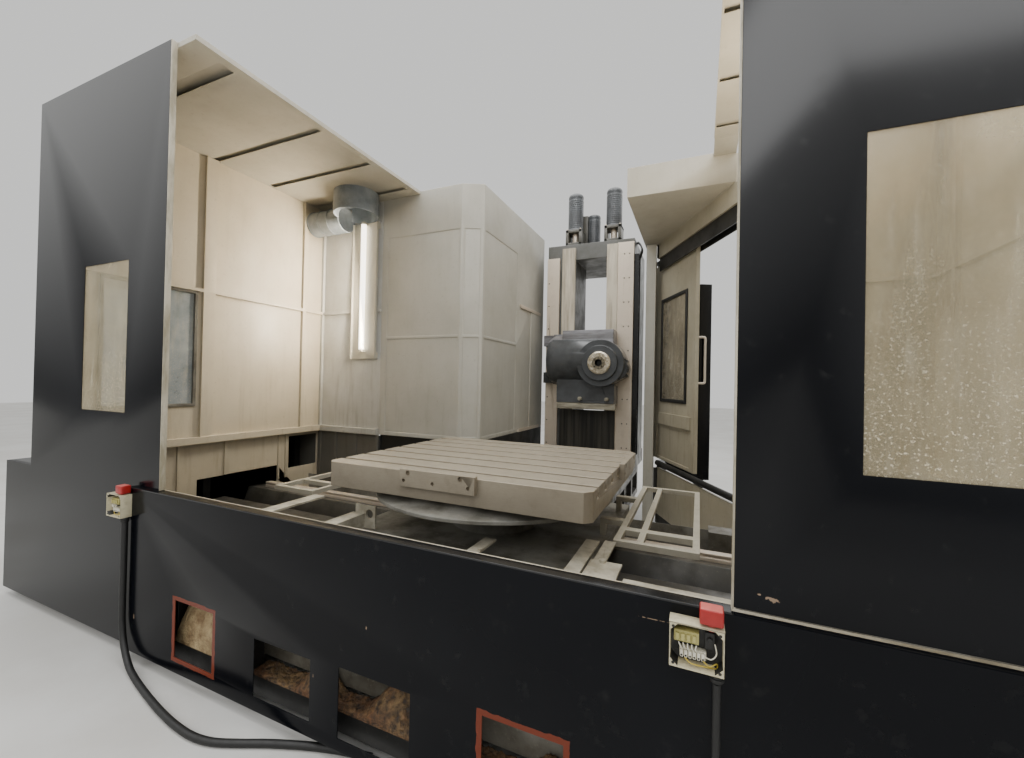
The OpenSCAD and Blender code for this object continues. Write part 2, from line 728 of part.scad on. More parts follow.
rear_bed_end = machine_d - front_gear - 575;
rear_half = 390;
module rear_bed() color(grey) {
    w = 2 * rear_half;
    difference() {
        translate([column_x - rear_half, front_y + rear_bed_end, bed_z]) rotate([90, 0, 0])
            linear_extrude(rear_bed_end - bed_y1 - play)
                polygon([[0, 0], [w, 0], [w, bed_h - 60], [w - 20, bed_h - 40], [w - 160, bed_h - 40],
                    [w - 200, bed_h - 150], [200, bed_h - 150], [160, bed_h - 40], [20, bed_h - 40],
                    [0, bed_h - 60]]);
        for (y = [bed_y1 + 100 : 520 : rear_bed_end - 500])
            for (x = [[column_x - rear_half - 1, column_x - rear_half + 50],
                    [column_x + rear_half - 50, column_x + rear_half + 1]])
                slab(x, [y, y + 430], [bed_z + 70, bed_z + 280]);
    }
}

// Profiled guide rails: two along the cross bed, two along the rear bed
rail_end = 2350;
rear_guide = 310;
rear_rail_z = bed_z + bed_h - 40;
module rail_profile() {
    w = rail_w;
    h = rail_h;
    polygon([[-w / 2, 0], [w / 2, 0], [w / 2, h * 0.4], [w / 2 - 7, h * 0.5], [w / 2 - 7, h * 0.62],
        [w / 2, h * 0.75], [w / 2, h - 2], [w / 2 - 2, h], [-w / 2 + 2, h], [-w / 2, h - 2],
        [-w / 2, h * 0.75], [-w / 2 + 7, h * 0.62], [-w / 2 + 7, h * 0.5], [-w / 2, h * 0.4]]);
}

module guide_rails() color(steel) {
    for (s = [-1, 1])
        translate([-rail_end, front_y + table_y + s * guide_off, bed_z + bed_h]) rotate([90, 0, 90])
            linear_extrude(2 * rail_end) rail_profile();
    for (s = [-1, 1])
        translate([column_x + s * rear_guide, front_y + rear_bed_end - 20, rear_rail_z])
            rotate([90, 0, 0]) linear_extrude(rear_bed_end - 20 - bed_y1 - 100) rail_profile();
}

// Carriage that hugs a profiled rail, along X, with its base at the rail's foot
carriage_h = 26;
module carriage_section(top) {
    w = rail_w / 2;
    difference() {
        translate([-w - 30, rail_h * 0.45]) square([2 * w + 60, top - rail_h * 0.45]);
        translate([-w - play, 0]) square([2 * (w + play), rail_h + play]);
    }
}

// Feed motors at the ends of the two beds
module drive_motors() color(dark) {
    motor_end = machine_d - front_gear;
    slab([column_x - 90, column_x + 90], [rear_bed_end, rear_bed_end + 60], [bed_z + 60, bed_z + 280]);
    slab([column_x - 80, column_x + 80], [rear_bed_end + 60, motor_end - 30], [bed_z + 80, bed_z + 250]);
    rod_y(column_x, motor_end - 30, bed_z + 165, 70, 30);
    slab([bed_end, bed_end + 60 - play], [table_y - 90, table_y + 90], [bed_z + 160, bed_z + 380]);
    slab([bed_end + 60 - play, bed_end + 95], [table_y - 80, table_y + 80], [bed_z + 180, bed_z + 350]);
}

// Sheet troughs in front of and behind the cross bed, and the panel at the right rear
trough_t = 5;
module trough(x, y, z_front, z_rear) {
    slab(x, [y[0], y[0] + trough_t], [base_top + 20, z_front]);
    slab(x, [y[1] - trough_t, y[1]], [base_top + 20, z_rear]);
    slab(x, y, [base_top + 20, base_top + 20 + trough_t]);
}

module chip_troughs() color(grey) {
    x0 = -zone_left - rib_p;
    x1 = zone_right + wall_t;
    trough([x0, x1], [panel_t + 102, bed_y0 - play], 560, 420);
    for (x = [[x0, column_x - rear_half - 20], [column_x + rear_half + 20, x1]])
        trough(x, [bed_y1 + play, rear_bar_y - 10], 420, 545);
    slab([1264, zone_right], [1700, 1700 + trough_t], [base_top + 25, 575]);
    slab([1264, zone_right], [1700 + trough_t, rear_bar_y - 10], [570, 575]);
}

// Light flat arms that reach in from the front panel to carry the missing floor covers
arm_z = table_z - 286;
arm_reach = 690;
module support_arms() color([0.62, 0.61, 0.57]) {
    slab([-977, -895], [low_front_back, arm_reach - 30], [arm_z - 12, arm_z]);
    difference() {
        slab([-515, -435], [low_front_back, 500], [arm_z - 75, arm_z]);
        slab([-509, -441], [low_front_back + 10, 501], [arm_z - 69, arm_z - 6]);
    }
    difference() {
        slab([-500, -365], [500, 512], [arm_z - 75, arm_z + 45]);
        rod_y(-405, 499, arm_z, 24, 20);
    }
    slab([300, 358], [low_front_back, 478], [arm_z - 10, arm_z]);
    rod_z(352, 330, arm_z, 9, 8);
    slab([728, 790], [low_front_back, arm_reach - 20], [arm_z - 10, arm_z]);
    slab([800, 926], [low_front_back, 455], [arm_z - 10, arm_z]);
    slab([810, 861], [455, arm_reach], [arm_z - 10, arm_z]);
    rod_z(850, 440, arm_z, 14, 12);
    slab([950, zone_right + wall_t], [low_front_back, 330], [arm_z - 8, arm_z]);
    slab([-zone_left, -1340], [low_front_back, 120], [arm_z - 8, arm_z]);
    slab([-1290, 1200], [0, low_front_back], [arm_z - 60, arm_z]);
    slab([-zone_left, -1340], [panel_t, low_front_back], [arm_z - 60, arm_z]);
    slab([1340, zone_right + wall_t], [0, low_front_back], [arm_z - 60, arm_z]);
}
low_front_back = 60;

// Table saddle with its four carriages
saddle_z = bed_z + bed_h + 70;
saddle_top = 690;
saddle_w = 1330;
saddle_d = 1400;
module table_saddle() color(grey) {
    difference() {
        slab([table_x - saddle_w / 2, table_x + saddle_w / 2],
            [table_y - saddle_d / 2, table_y + saddle_d / 2], [saddle_z, saddle_top]);
        slab([table_x - saddle_w / 2 + 90, table_x + saddle_w / 2 - 90],
            [table_y - guide_off + 90, table_y + guide_off - 90], [saddle_z - 1, saddle_z + 60]);
    }
    for (s = [-1, 1]) for (x = [table_x - saddle_w / 2 + 60, table_x + saddle_w / 2 - 260])
        translate([x, front_y + table_y + s * guide_off, bed_z + bed_h]) rotate([90, 0, 90])
            linear_extrude(200) carriage_section(saddle_z - bed_z - bed_h);
}

// Flat-bar frames that carry the way covers beside the saddle
frame_t = 28;
module flat_bar(x, y) {
    slab(x, y, [arm_z - frame_t, arm_z]);
}

module cover_frames() color([0.62, 0.61, 0.57]) {
    // Right frame: two front bars, a back bar, three long bars and two ties to the saddle
    xr = [842, 1210];
    for (y = [[712, 742], [880, 928], [1850, 1884]]) flat_bar(xr, y);
    for (x = [[842, 872], [944, 974], [1180, 1210]]) {
        flat_bar(x, [742 + play, 880 - play]);
        flat_bar(x, [928 + play, 1850 - play]);
    }
    // Left frame, with a cross rung near its front
    xl = [-1394, -1052];
    for (y = [[702, 732], [905, 945], [1570, 1600]]) flat_bar(xl, y);
    for (x = [[-1394, -1364], [-1082, -1052]]) {
        flat_bar(x, [732 + play, 905 - play]);
        flat_bar(x, [945 + play, 1570 - play]);
    }
    // Ties down to the saddle's two sides
    for (y = [1010, 1500]) {
        slab([table_x + saddle_w / 2 - 60, xr[0] - play], [y, y + 50], [arm_z - frame_t, arm_z]);
        slab([table_x + saddle_w / 2 - 60, table_x + saddle_w / 2 - 30], [y, y + 50],
            [saddle_top, arm_z - frame_t]);
        slab([xl[1] + play, table_x - saddle_w / 2 + 60], [y, y + 50], [arm_z - frame_t, arm_z]);
        slab([table_x - saddle_w / 2 + 30, table_x - saddle_w / 2 + 60], [y, y + 50],
            [saddle_top, arm_z - frame_t]);
    }
}

// Rotary base: neck, dished swarf cover and the bearing seat of the table
seat_z = table_z - table_t - play;
pivot_r = 150;
pivot_h = 60;
neck_r = 250;
module rotary_base() color(grey) {
    translate([table_x, front_y + table_y, 0]) difference() {
        rotate_extrude($fn = 96)
            polygon([[0, saddle_top], [neck_r, saddle_top], [neck_r, saddle_top + 105],
                [cover_r, seat_z - 62], [cover_r, seat_z - 44], [cover_r - 90, seat_z - 34],
                [cover_r - 160, seat_z], [0, seat_z]]);
        translate([0, 0, seat_z - pivot_h]) cylinder(r = pivot_r + fit, h = pivot_h + 1, $fn = 96);
    }
}

// Table plate with chamfered corners, T-slots along X and a pivot underneath
slot_n = 7;
corner_c = 33;
tee_w = slot_w * 1.65;
tee_h = slot_d * 0.42;
slot_top = 2;
module plate_outline() {
    w = table_w / 2;
    d = table_d / 2;
    polygon([[-w + corner_c, -d], [w - corner_c, -d], [w, -d + corner_c], [w, d - corner_c],
        [w - corner_c, d], [-w + corner_c, d], [-w, d - corner_c], [-w, -d + corner_c]]);
}

module tee_slot() {
    translate([-table_w / 2 - 1, 0, table_z]) rotate([90, 0, 90]) linear_extrude(table_w + 2) {
        translate([-slot_w / 2, -slot_d]) square([slot_w, slot_d + 1]);
        translate([-tee_w / 2, -slot_d]) square([tee_w, tee_h]);
    }
}

module table_plate() color(iron) {
    translate([table_x, front_y + table_y, 0]) {
        difference() {
            translate([0, 0, table_z - table_t]) linear_extrude(table_t) plate_outline();
            for (i = [0 : slot_n - 1])
                translate([0, (i - (slot_n - 1) / 2) * slot_pitch, 0]) tee_slot();
        }
        translate([0, 0, seat_z - pivot_h + 2]) cylinder(r = pivot_r, h = pivot_h, $fn = 96);
    }
}

// Locating plates bolted to the front and right sides of the table, with their screw holes
stop_t = 28;
stop_h = 82;
stop_up = 14;
module stop_plate(len, holes) {
    difference() {
        translate([0, -stop_t, 0]) cube([len, stop_t, stop_h]);
        for (h = holes)
            translate([h[0] * len, -stop_t - 1, h[1] * stop_h]) rotate([-90, 0, 0])
                cylinder(r = h[2], h = stop_t * 0.6, $fn = 24);
    }
}

module stop_plates() color(iron) {
    z = table_z + stop_up - stop_h;
    holes = [[0.12, 0.8, 12], [0.82, 0.8, 12], [0.06, 0.35, 9], [0.46, 0.35, 9], [0.92, 0.35, 9]];
    front_len = 402;
    translate([table_x - 209, front_y + table_y - table_d / 2 - play, z]) stop_plate(front_len, holes);
    translate([table_x + table_w / 2 + play, front_y + table_y + 30, z])
        rotate([0, 0, 90]) stop_plate(420, holes);
}

// Portal column: two posts, a top beam over the opening, and a wide sole
sole_z = rear_rail_z + rail_h + 20;
sole_h = 155;
portal_top = column_h - 179;
post_front = 480;
rear_widening = 149;
module column() color(grey) {
    x = [column_x - column_w / 2, column_x + column_w / 2];
    p = [portal_x - portal_w / 2, portal_x + portal_w / 2];
    z = [sole_z + sole_h, portal_top];
    difference() {
        slab(x, [column_y, column_y + column_d], [sole_z, column_h]);
        slab(p, [column_y - 1, column_y + column_d + 1], z);
        // The posts are hollow behind their front half, so the opening widens to the rear
        slab([p[0] - rear_widening, p[1] + rear_widening],
            [column_y + post_front, column_y + column_d + 1], [z[0] + 60, z[1]]);
    }
    slab(x, [column_y - 130, column_y], [sole_z, sole_z + sole_h]);
    slab(x, [column_y + column_d, column_y + column_d + 100], [sole_z, sole_z + sole_h]);
    for (s = [-1, 1]) for (y = [column_y - 110, column_y + column_d - 130])
        translate([column_x + s * rear_guide, front_y + y + 210, rear_rail_z]) rotate([90, 0, 0])
            linear_extrude(210) carriage_section(rail_h + 20);
}

// Ground guide strips on the outer edges of the posts, with their screws
guide_w = 144;
wide_guide_w = 168;
guide_p = 30;
guide_z = sole_z + sole_h + 50;
left_guide = [column_x - column_w / 2 + 2, column_x - column_w / 2 + 2 + guide_w];
right_guide = [column_x + column_w / 2 - 2 - wide_guide_w, column_x + column_w / 2 - 2];
screw_pitch = 259;
module column_guides() color(iron) {
    y = [column_y - guide_p, column_y];
    difference() {
        slab(left_guide, y, [guide_z, column_h - 150]);
        for (z = [guide_z + 76 : screw_pitch : column_h - 190])
            rod_y(left_guide[0] + 24, y[0] - 1, z, 8, 12);
    }
    difference() {
        slab(right_guide, y, [guide_z, column_h - 45]);
        for (z = [guide_z + 76 : screw_pitch : column_h - 60]) for (dx = [70, 122])
            rod_y(right_guide[0] + dx, y[0] - 1, z, 8, 12);
    }
}

// Closed casings of the two lifting screws, beside the opening, and the cover under the head
screw_w = 146;
cover_top = 1216;
module screw_covers() color(steel) {
    p = [portal_x - portal_w / 2, portal_x + portal_w / 2];
    x = [p[0] - screw_w, right_guide[0] - play];
    z = [guide_z, column_h - 52];
    slab([x[0], p[0]], [column_y - 38, column_y], z);
    slab([p[1], x[1]], [column_y - 38, column_y], z);
    difference() {
        slab(x, [column_y - 46, column_y - 38 - play], [guide_z, cover_top]);
        for (gx = [x[0] + 60 : 84 : x[1] - 40])
            slab([gx, gx + 8], [column_y - 47, column_y - 43], [guide_z - 1, cover_top + 1]);
    }
}

// Lifting drives on top of the posts and the taller unit between them
bracket_h = 186;
drive_r = 86;
drive_dx = 219.5;
mid_x = 30;
mid_y = column_y + 320;
module lift_motors() color(dark) {
    for (s = [-1, 1]) {
        xc = portal_x - 3.5 + s * drive_dx;
        y = column_y + 130;
        difference() {
            slab([xc - 92, xc + 92], [y - 90, y + 90], [column_h, column_h + bracket_h]);
            slab([xc - 60, xc + 60], [y - 91, y + 91], [column_h + 38, column_h + bracket_h - 34]);
        }
        rod_z(xc, y, column_h + bracket_h, drive_r, 400);
        rod_z(xc, y, column_h + bracket_h + 400, drive_r - 16, 26);
        slab([xc + 40, xc + 106], [y - 36, y + 36],
            [column_h + bracket_h + 60, column_h + bracket_h + 170]);
    }
    rod_z(mid_x, mid_y, column_h, 75, 400);
    rod_z(mid_x, mid_y, column_h + 400, 60, 16);
    slab([mid_x - 190, mid_x - 60], [mid_y - 55, mid_y + 55], [column_h, column_h + 410]);
}

// Open cable channel down the right side of the column, with the hoses clipped in it
module cable_duct() color(dark) {
    x0 = column_x + column_w / 2;
    difference() {
        slab([x0, x0 + 48], [column_y + 10, column_y + 130], [guide_z, 2900]);
        slab([x0 + 5, x0 + 49], [column_y + 16, column_y + 124], [guide_z + 8, 2892]);
    }
    for (i = [0 : 3])
        rod_z(x0 + 25, column_y + 34 + 26 * i, guide_z + 8, 10, 2884 - guide_z);
}

// Spindle head: a cast barrel across the guides with the round spindle housing in front
head_back = column_y - 50;
barrel_r = 273;
barrel_z = spindle_z + 42;
barrel_y = head_back - 30;
barrel_left = -332;
housing_r = 240;
lobe_x = spindle_x + 126;
lobe_z = spindle_z - 48;
lobe_r = 135;
plate_z = spindle_z - 222;
nose_y = 2965;
module spindle_head() color(dark) {
    intersection() {
        union() {
            translate([barrel_left, front_y + barrel_y, barrel_z]) rotate([0, 90, 0])
                rotate_extrude($fn = 96)
                    polygon([[0, 0], [barrel_r - 70, 0], [barrel_r - 25, 18], [barrel_r, 70],
                        [barrel_r, 560], [0, 560]]);
            rod_y(spindle_x, nose_y + 70, spindle_z, housing_r, head_back - nose_y - 70);
            rod_y(spindle_x, nose_y + 40, spindle_z, nose_r + 65, 40);
            rod_y(lobe_x, nose_y + 145, lobe_z, lobe_r, head_back - nose_y - 145);
        }
        slab([-900, 900], [nose_y - 50, head_back], [spindle_z - 700, spindle_z + 700]);
    }
    // Back plate, its shoes on the column's guide strips, and the cover on top
    slab([-300, 374], [head_back - 60, head_back - 0.5], [plate_z, spindle_z + 330]);
    for (z = [plate_z + 10, spindle_z + 200])
        slab(left_guide, [head_back - 60, column_y - guide_p - play], [z, z + 120]);
    for (z = [lobe_z - 90, lobe_z + 10])
        slab([right_guide[0] + 1, lobe_x + 120], [head_back - 60, column_y - guide_p - play], [z, z + 80]);
    slab([-160, 385], [head_back - 200, head_back - 0.5], [spindle_z + 180, spindle_z + 353]);
}

// Lower casing of the head with its light edge bar and two coolant nozzles
module head_skirt() color(dark) {
    z1 = plate_z - play;
    z0 = spindle_z - 416;
    difference() {
        slab([-213, 400], [head_back - 200, head_back], [z0, spindle_z - 160]);
        rod_x(-900, barrel_y, barrel_z, barrel_r + play, 1800);
        rod_y(spindle_x, nose_y - 50, spindle_z, housing_r + play, 900);
        rod_y(lobe_x, nose_y - 50, lobe_z, lobe_r + play, 900);
        slab([-440, 560], [head_back - 61, head_back + 1], [z1, spindle_z]);
    }
    slab([-205, 416], [head_back - 214, head_back - 190], [z0 - 62, z0 - 8]);
    slab([-205, 416], [head_back - 190, head_back - 160], [z0 - 62, z0]);
    for (x = [52, 330]) {
        rod_y(x, head_back - 250, z0 + 46, 20, 50);
        rod_y(x, head_back - 270, z0 + 46, 13, 22);
    }
}

// Turning spindle nose: the bright ring, the drive face and the steep taper
pilot_r = 64.285;
bolt_r = 50.8;
shaft_back = nose_y + 260;
module spindle_nose() color(steel) {
    translate([spindle_x, front_y + nose_y, spindle_z]) rotate([-90, 0, 0]) difference() {
        rotate_extrude($fn = 96)
            polygon([[0, 0], [pilot_r, 0], [pilot_r, 16], [nose_r - 14, 16], [nose_r, 24],
                [nose_r, 39.7], [0, 39.7]]);
        // Steep taper socket for the tool shanks
        translate([0, 0, -1]) cylinder(r1 = 35, r2 = 23, h = 38, $fn = 64);
        for (a = [45 : 90 : 315]) rotate([0, 0, a]) translate([bolt_r, 0, -1])
            cylinder(r = 8, h = 31, $fn = 32);
        for (a = [0 : 30 : 330]) rotate([0, 0, a]) translate([nose_r - 28, 0, 10])
            cylinder(r = 7, h = 16, $fn = 24);
    }
}

// Switch boxes on the front with their lids off, as seen from the operator's side
box_w = 135;
box_h = 118;
box_d = 50;
box_z = 752;
box_wall = 5;
left_box_x = -1660;
right_box_x = 1132;
box_face = -low_t - box_d;
button_w = 58;
button_u = 74;
stem_r = 11;
module switch_box(x) {
    translate([x, front_y + box_face, box_z]) difference() {
        cube([box_w, box_d, box_h]);
        // Eight-sided opening that leaves a screw post in each corner
        c = 20;
        w = box_w - box_wall;
        h = box_h - box_wall;
        translate([0, box_d - box_wall, 0]) rotate([90, 0, 0]) linear_extrude(box_d)
            polygon([[box_wall + c, box_wall], [w - c, box_wall], [w, box_wall + c], [w, h - c],
                [w - c, h], [box_wall + c, h], [box_wall, h - c], [box_wall, box_wall + c]]);
        for (sx = [12, box_w - 12]) for (sz = [12, box_h - 12])
            translate([sx, -1, sz]) rotate([-90, 0, 0]) cylinder(r = 3.2, h = 20, $fn = 24);
        translate([button_u + button_w / 2, box_d / 2, box_h - 20])
            cylinder(r = stem_r + fit, h = 30, $fn = 32);
    }
}

module switch_boxes() color(cream) {
    switch_box(left_box_x);
    switch_box(right_box_x);
}

// Contactor, terminal strip, cable gland and conduit elbow of each box
gland_r = 19;
gland_u = 118;
gland_y = -low_t - gland_r - 3;
module box_gear(x) {
    translate([x, front_y + box_face, box_z]) {
        translate([12, 20, 62]) cube([62, box_d - box_wall - 20, 26]);
        translate([26, 24, 22]) cube([66, box_d - box_wall - 24, 18]);
        for (i = [0 : 6]) translate([29 + 9 * i, 18, 26]) cube([5, 7, 10]);
        translate([88, 26, 54]) cube([22, box_d - box_wall - 26, 40]);
    }
    rod_z(x + gland_u, gland_y, box_z - 26, gland_r, 26 - play);
}

module box_fittings() color(dark) {
    box_gear(left_box_x);
    box_gear(right_box_x);
    // Short straight conduit of the right box, down to its elbow on the low panel
    rod_z(right_box_x + gland_u, gland_y, 260 + play, 10, box_z - 26 - 260 - 2 * play);
    slab([right_box_x + gland_u - 20, right_box_x + gland_u + 20], [gland_y - 18, -low_t - play],
        [215, 260]);
}

// Red push switch on top of a box, with its stem in the box's bush
button_z = box_z + box_h + 6;
module stop_button(x) {
    translate([x + button_u, front_y + box_face + box_d / 2 - 22, button_z]) cube([button_w, 44, 42]);
    rod_z(x + button_u + button_w / 2, box_face + box_d / 2, button_z - 18, stem_r, 19);
}

module left_stop_button() color([0.75, 0.12, 0.12]) {
    stop_button(left_box_x);
}

module right_stop_button() color([0.75, 0.12, 0.12]) {
    stop_button(right_box_x);
}

// Loose black cable of the left box: straight down, out over the floor and back under the cabin
cable_r = 15;
cable_route = [[-1542, -47, 726], [-1542, -47, 500], [-1542, -47, 260], [-1535, -48, 190],
    [-1512, -52, 120], [-1462, -62, 60], [-1390, -78, 26], [-1300, -98, 16], [-1200, -120, 15.5],
    [-1070, -146, 15.5], [-940, -168, 15.5], [-810, -184, 15.5], [-690, -188, 15.5],
    [-590, -172, 15.5], [-490, -132, 15.5], [-390, -86, 15.5], [-290, -46, 15.5], [-180, -8, 15.5],
    [-70, 22, 15.5], [40, 42, 15.5]];
sides = 10;

// Unit vector, and a ring of points square to the route at point i
function unit(v) = v / norm(v);
function heading(p, i) = unit(p[min(i + 1, len(p) - 1)] - p[max(i - 1, 0)]);
function across(d) = unit(cross(d, abs(d[2]) > 0.9 ? [0, 1, 0] : [0, 0, 1]));
function ring(p, i, r) = let (d = heading(p, i), a = across(d), b = cross(d, a))
    [for (k = [0 : sides - 1]) p[i] + r * (cos(360 * k / sides) * a + sin(360 * k / sides) * b)];

module swept_tube(p, r) {
    n = len(p);
    points = [for (i = [0 : n - 1]) each ring(p, i, r)];
    walls = [for (i = [0 : n - 2]) for (k = [0 : sides - 1]) let (a = i * sides + k,
        b = i * sides + (k + 1) % sides) each [[a, b, b + sides], [a, b + sides, a + sides]]];
    ends = [[for (k = [sides - 1 : -1 : 0]) k], [for (k = [0 : sides - 1]) (n - 1) * sides + k]];
    polyhedron(points = points, faces = concat(walls, ends), convexity = 6);
}

// Points between the route's points, on a smooth curve through them
function curve_point(p, i, t) =
    let (a = p[max(i - 1, 0)], b = p[i], c = p[i + 1], d = p[min(i + 2, len(p) - 1)])
    0.5 * (2 * b + (c - a) * t + (2 * a - 5 * b + 4 * c - d) * t * t
        + (3 * b - a - 3 * c + d) * t * t * t);
function smooth(p, m) = concat([for (i = [0 : len(p) - 2]) for (k = [0 : m - 1]) curve_point(p, i, k / m)],
    [p[len(p) - 1]]);

module cabin_cable() color(dark) {
    translate([0, front_y, 0]) swept_tube(smooth(cable_route, 3), cable_r);
}

cabin_base();
levelling_feet();
left_front_panel();
right_front_panel();
low_front_panel();
front_trim();
front_windows();
side_plinths();
cabin_posts();
left_outer_wall();
right_outer_wall();
left_inner_wall();
left_lower_wall();
side_window_frame();
side_window_pane();
right_inner_wall();
left_roof();
right_roof();
rear_left_wall();
rear_right_wall();
lamp_fixture();
lamp_tube();
mist_duct();
tool_housing();
hatch_rails();
tool_hatch();
magazine_frame();
magazine_disc();
rear_roof();
door_frame();
rear_post();
door_rails();
door_outer_cover();
door_leaf();
door_pane();
door_handle();
chip_troughs();
support_arms();
front_bed();
rear_bed();
guide_rails();
drive_motors();
table_saddle();
cover_frames();
rotary_base();
table_plate();
stop_plates();
column();
column_guides();
screw_covers();
lift_motors();
cable_duct();
spindle_head();
head_skirt();
spindle_nose();
switch_boxes();
box_fittings();
left_stop_button();
right_stop_button();
cabin_cable();
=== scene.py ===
# %% [markdown]
# # A horizontal machining center, dressed for a render
# The castings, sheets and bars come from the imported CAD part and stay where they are. This
# notebook rounds their edges, gives each surface the finish it has after years of coolant and
# chips, and adds the small things that a casting drawing leaves out: wires, screws, hoses.

import json
import math
import random

import bmesh
import bpy
from mathutils import Matrix, Vector


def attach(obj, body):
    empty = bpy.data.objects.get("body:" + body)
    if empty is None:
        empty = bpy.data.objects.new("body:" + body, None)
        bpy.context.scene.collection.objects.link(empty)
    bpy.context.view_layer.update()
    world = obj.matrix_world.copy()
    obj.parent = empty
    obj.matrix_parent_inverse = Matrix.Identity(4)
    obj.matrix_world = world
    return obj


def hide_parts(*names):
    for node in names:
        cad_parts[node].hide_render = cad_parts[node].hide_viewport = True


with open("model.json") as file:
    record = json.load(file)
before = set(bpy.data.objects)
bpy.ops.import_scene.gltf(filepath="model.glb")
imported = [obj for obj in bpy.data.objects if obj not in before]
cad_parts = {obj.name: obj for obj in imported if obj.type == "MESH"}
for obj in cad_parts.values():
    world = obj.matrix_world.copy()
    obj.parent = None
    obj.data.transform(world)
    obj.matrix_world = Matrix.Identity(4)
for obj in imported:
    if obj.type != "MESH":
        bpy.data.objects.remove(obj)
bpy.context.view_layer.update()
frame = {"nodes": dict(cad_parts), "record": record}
record = frame["record"]
body_of = {n: b for b, names in record["behaviour"]["bodies"].items() for n in names}

# %% [markdown]
# ## Places
# All sizes are noted in millimetres from the plane of the tall front panels, because that is
# the plane an installer would measure from. One function turns such a note into a point.

# %% Points in millimetres
FRONT = -2600
MM = 0.001
UP = (0, 0, 1)
OUT = (0, -1, 0)


def at(x, y, z):
    """A point in metres from millimetres right, back and up."""
    return Vector((x, FRONT + y, z)) * MM


# %% [markdown]
# ## Camera
# The operator stands close to the right front panel and looks a little to the left, with a very
# wide lens. The turn, tilt and roll, in degrees, were read from the panel edges.

# %% Camera
IMAGE_W = 1024
FOCAL_PX = 428.4
SENSOR_W = 36
EYE = (1196, -1300, 1495)
TURN = 23.61
TILT = 0.52
ROLL = 1.19
camera_data = bpy.data.cameras.new("operator_view")
camera_data.sensor_width = SENSOR_W
camera_data.lens = SENSOR_W * FOCAL_PX / IMAGE_W
camera_data.clip_start = 0.05
camera_data.clip_end = 100
camera = bpy.data.objects.new("operator_view", camera_data)
bpy.context.collection.objects.link(camera)
turn = (Matrix.Rotation(math.radians(TURN), 3, "Z")
        @ Matrix.Rotation(math.radians(90 + TILT), 3, "X")
        @ Matrix.Rotation(math.radians(ROLL), 3, "Z"))
camera.matrix_world = Matrix.Translation(at(*EYE)) @ turn.to_4x4()
bpy.context.scene.camera = camera
print("lens", round(camera_data.lens, 2), "mm")

# %% [markdown]
# ## Building helpers
# Every new piece is a bmesh that starts from one of Blender's own shapes. A piece is finished in
# one place: normals outwards, smooth shading up to a crease angle, a material, and the body it
# moves with.


# %% Piece helpers
def linear(hex_colour):
    """sRGB hex to the linear numbers that shader sockets hold."""
    values = [int(hex_colour[i:i + 2], 16) / 255 for i in (1, 3, 5)]
    return [v / 12.92 if v <= 0.04045 else ((v + 0.055) / 1.055) ** 2.4 for v in values] + [1]


def ride_along(piece, body, replaced):
    """Puts a new piece in the scene, on its body, for the CAD nodes it replaces."""
    bpy.context.collection.objects.link(piece)
    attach(piece, body)
    if replaced:
        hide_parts(*replaced)
    return piece


def finish_piece(name, bm, materials, body, replaced=(), crease=35, outward=True):
    """Turns a bmesh into a named piece with smooth shading up to a crease angle in degrees."""
    if outward:
        bmesh.ops.recalc_face_normals(bm, faces=bm.faces)
    mesh = bpy.data.meshes.new(name)
    bm.to_mesh(mesh)
    bm.free()
    for material in materials if isinstance(materials, (list, tuple)) else [materials]:
        mesh.materials.append(material)
    mesh.shade_smooth()
    mesh.set_sharp_from_angle(angle=math.radians(crease))
    return ride_along(bpy.data.objects.new(name, mesh), body, replaced)


def block(bm, x, y, z, bevel=0.0, segments=2, material=0):
    """A block between two corners in millimetres, with rounded edges."""
    made = bmesh.ops.create_cube(bm, size=1)["verts"]
    size = Vector((x[1] - x[0], y[1] - y[0], z[1] - z[0])) * MM
    centre = at((x[0] + x[1]) / 2, (y[0] + y[1]) / 2, (z[0] + z[1]) / 2)
    bmesh.ops.scale(bm, vec=size, verts=made)
    bmesh.ops.translate(bm, vec=centre, verts=made)
    for face in {f for v in made for f in v.link_faces}:
        face.material_index = material
    if bevel:
        edges = list({e for v in made for e in v.link_edges})
        bmesh.ops.bevel(bm, geom=edges, offset=bevel * MM, segments=segments, profile=0.5,
                        affect="EDGES", material=-1)


def rod(bm, foot, axis, radius, length, sides=32, bevel=0.0, material=0):
    """A round bar from the middle of its foot along an axis; radius and length in millimetres."""
    made = bmesh.ops.create_cone(bm, cap_ends=True, segments=sides, radius1=radius * MM,
                                 radius2=radius * MM, depth=length * MM)["verts"]
    bmesh.ops.translate(bm, vec=(0, 0, length * MM / 2), verts=made)
    turn_to = Vector(UP).rotation_difference(Vector(axis)).to_matrix()
    bmesh.ops.rotate(bm, matrix=turn_to, verts=made, cent=(0, 0, 0))
    bmesh.ops.translate(bm, vec=foot, verts=made)
    for face in {f for v in made for f in v.link_faces}:
        face.material_index = material
    if bevel:
        rims = [e for e in {e for v in made for e in v.link_edges}
                if e.is_manifold and e.calc_face_angle(0) > math.radians(50)]
        bmesh.ops.bevel(bm, geom=rims, offset=bevel * MM, segments=3, profile=0.5,
                        affect="EDGES", material=-1)


def turned(bm, outline, foot, steps):
    """Spins an outline of (radius, height) pairs in millimetres round an upright axis."""
    made = [bm.verts.new(foot + Vector((r * MM, 0, h * MM))) for r, h in outline]
    edges = [bm.edges.new(pair) for pair in zip(made, made[1:])]
    bmesh.ops.spin(bm, geom=made + edges, axis=UP, cent=foot, angle=2 * math.pi,
                   steps=steps, use_merge=True)


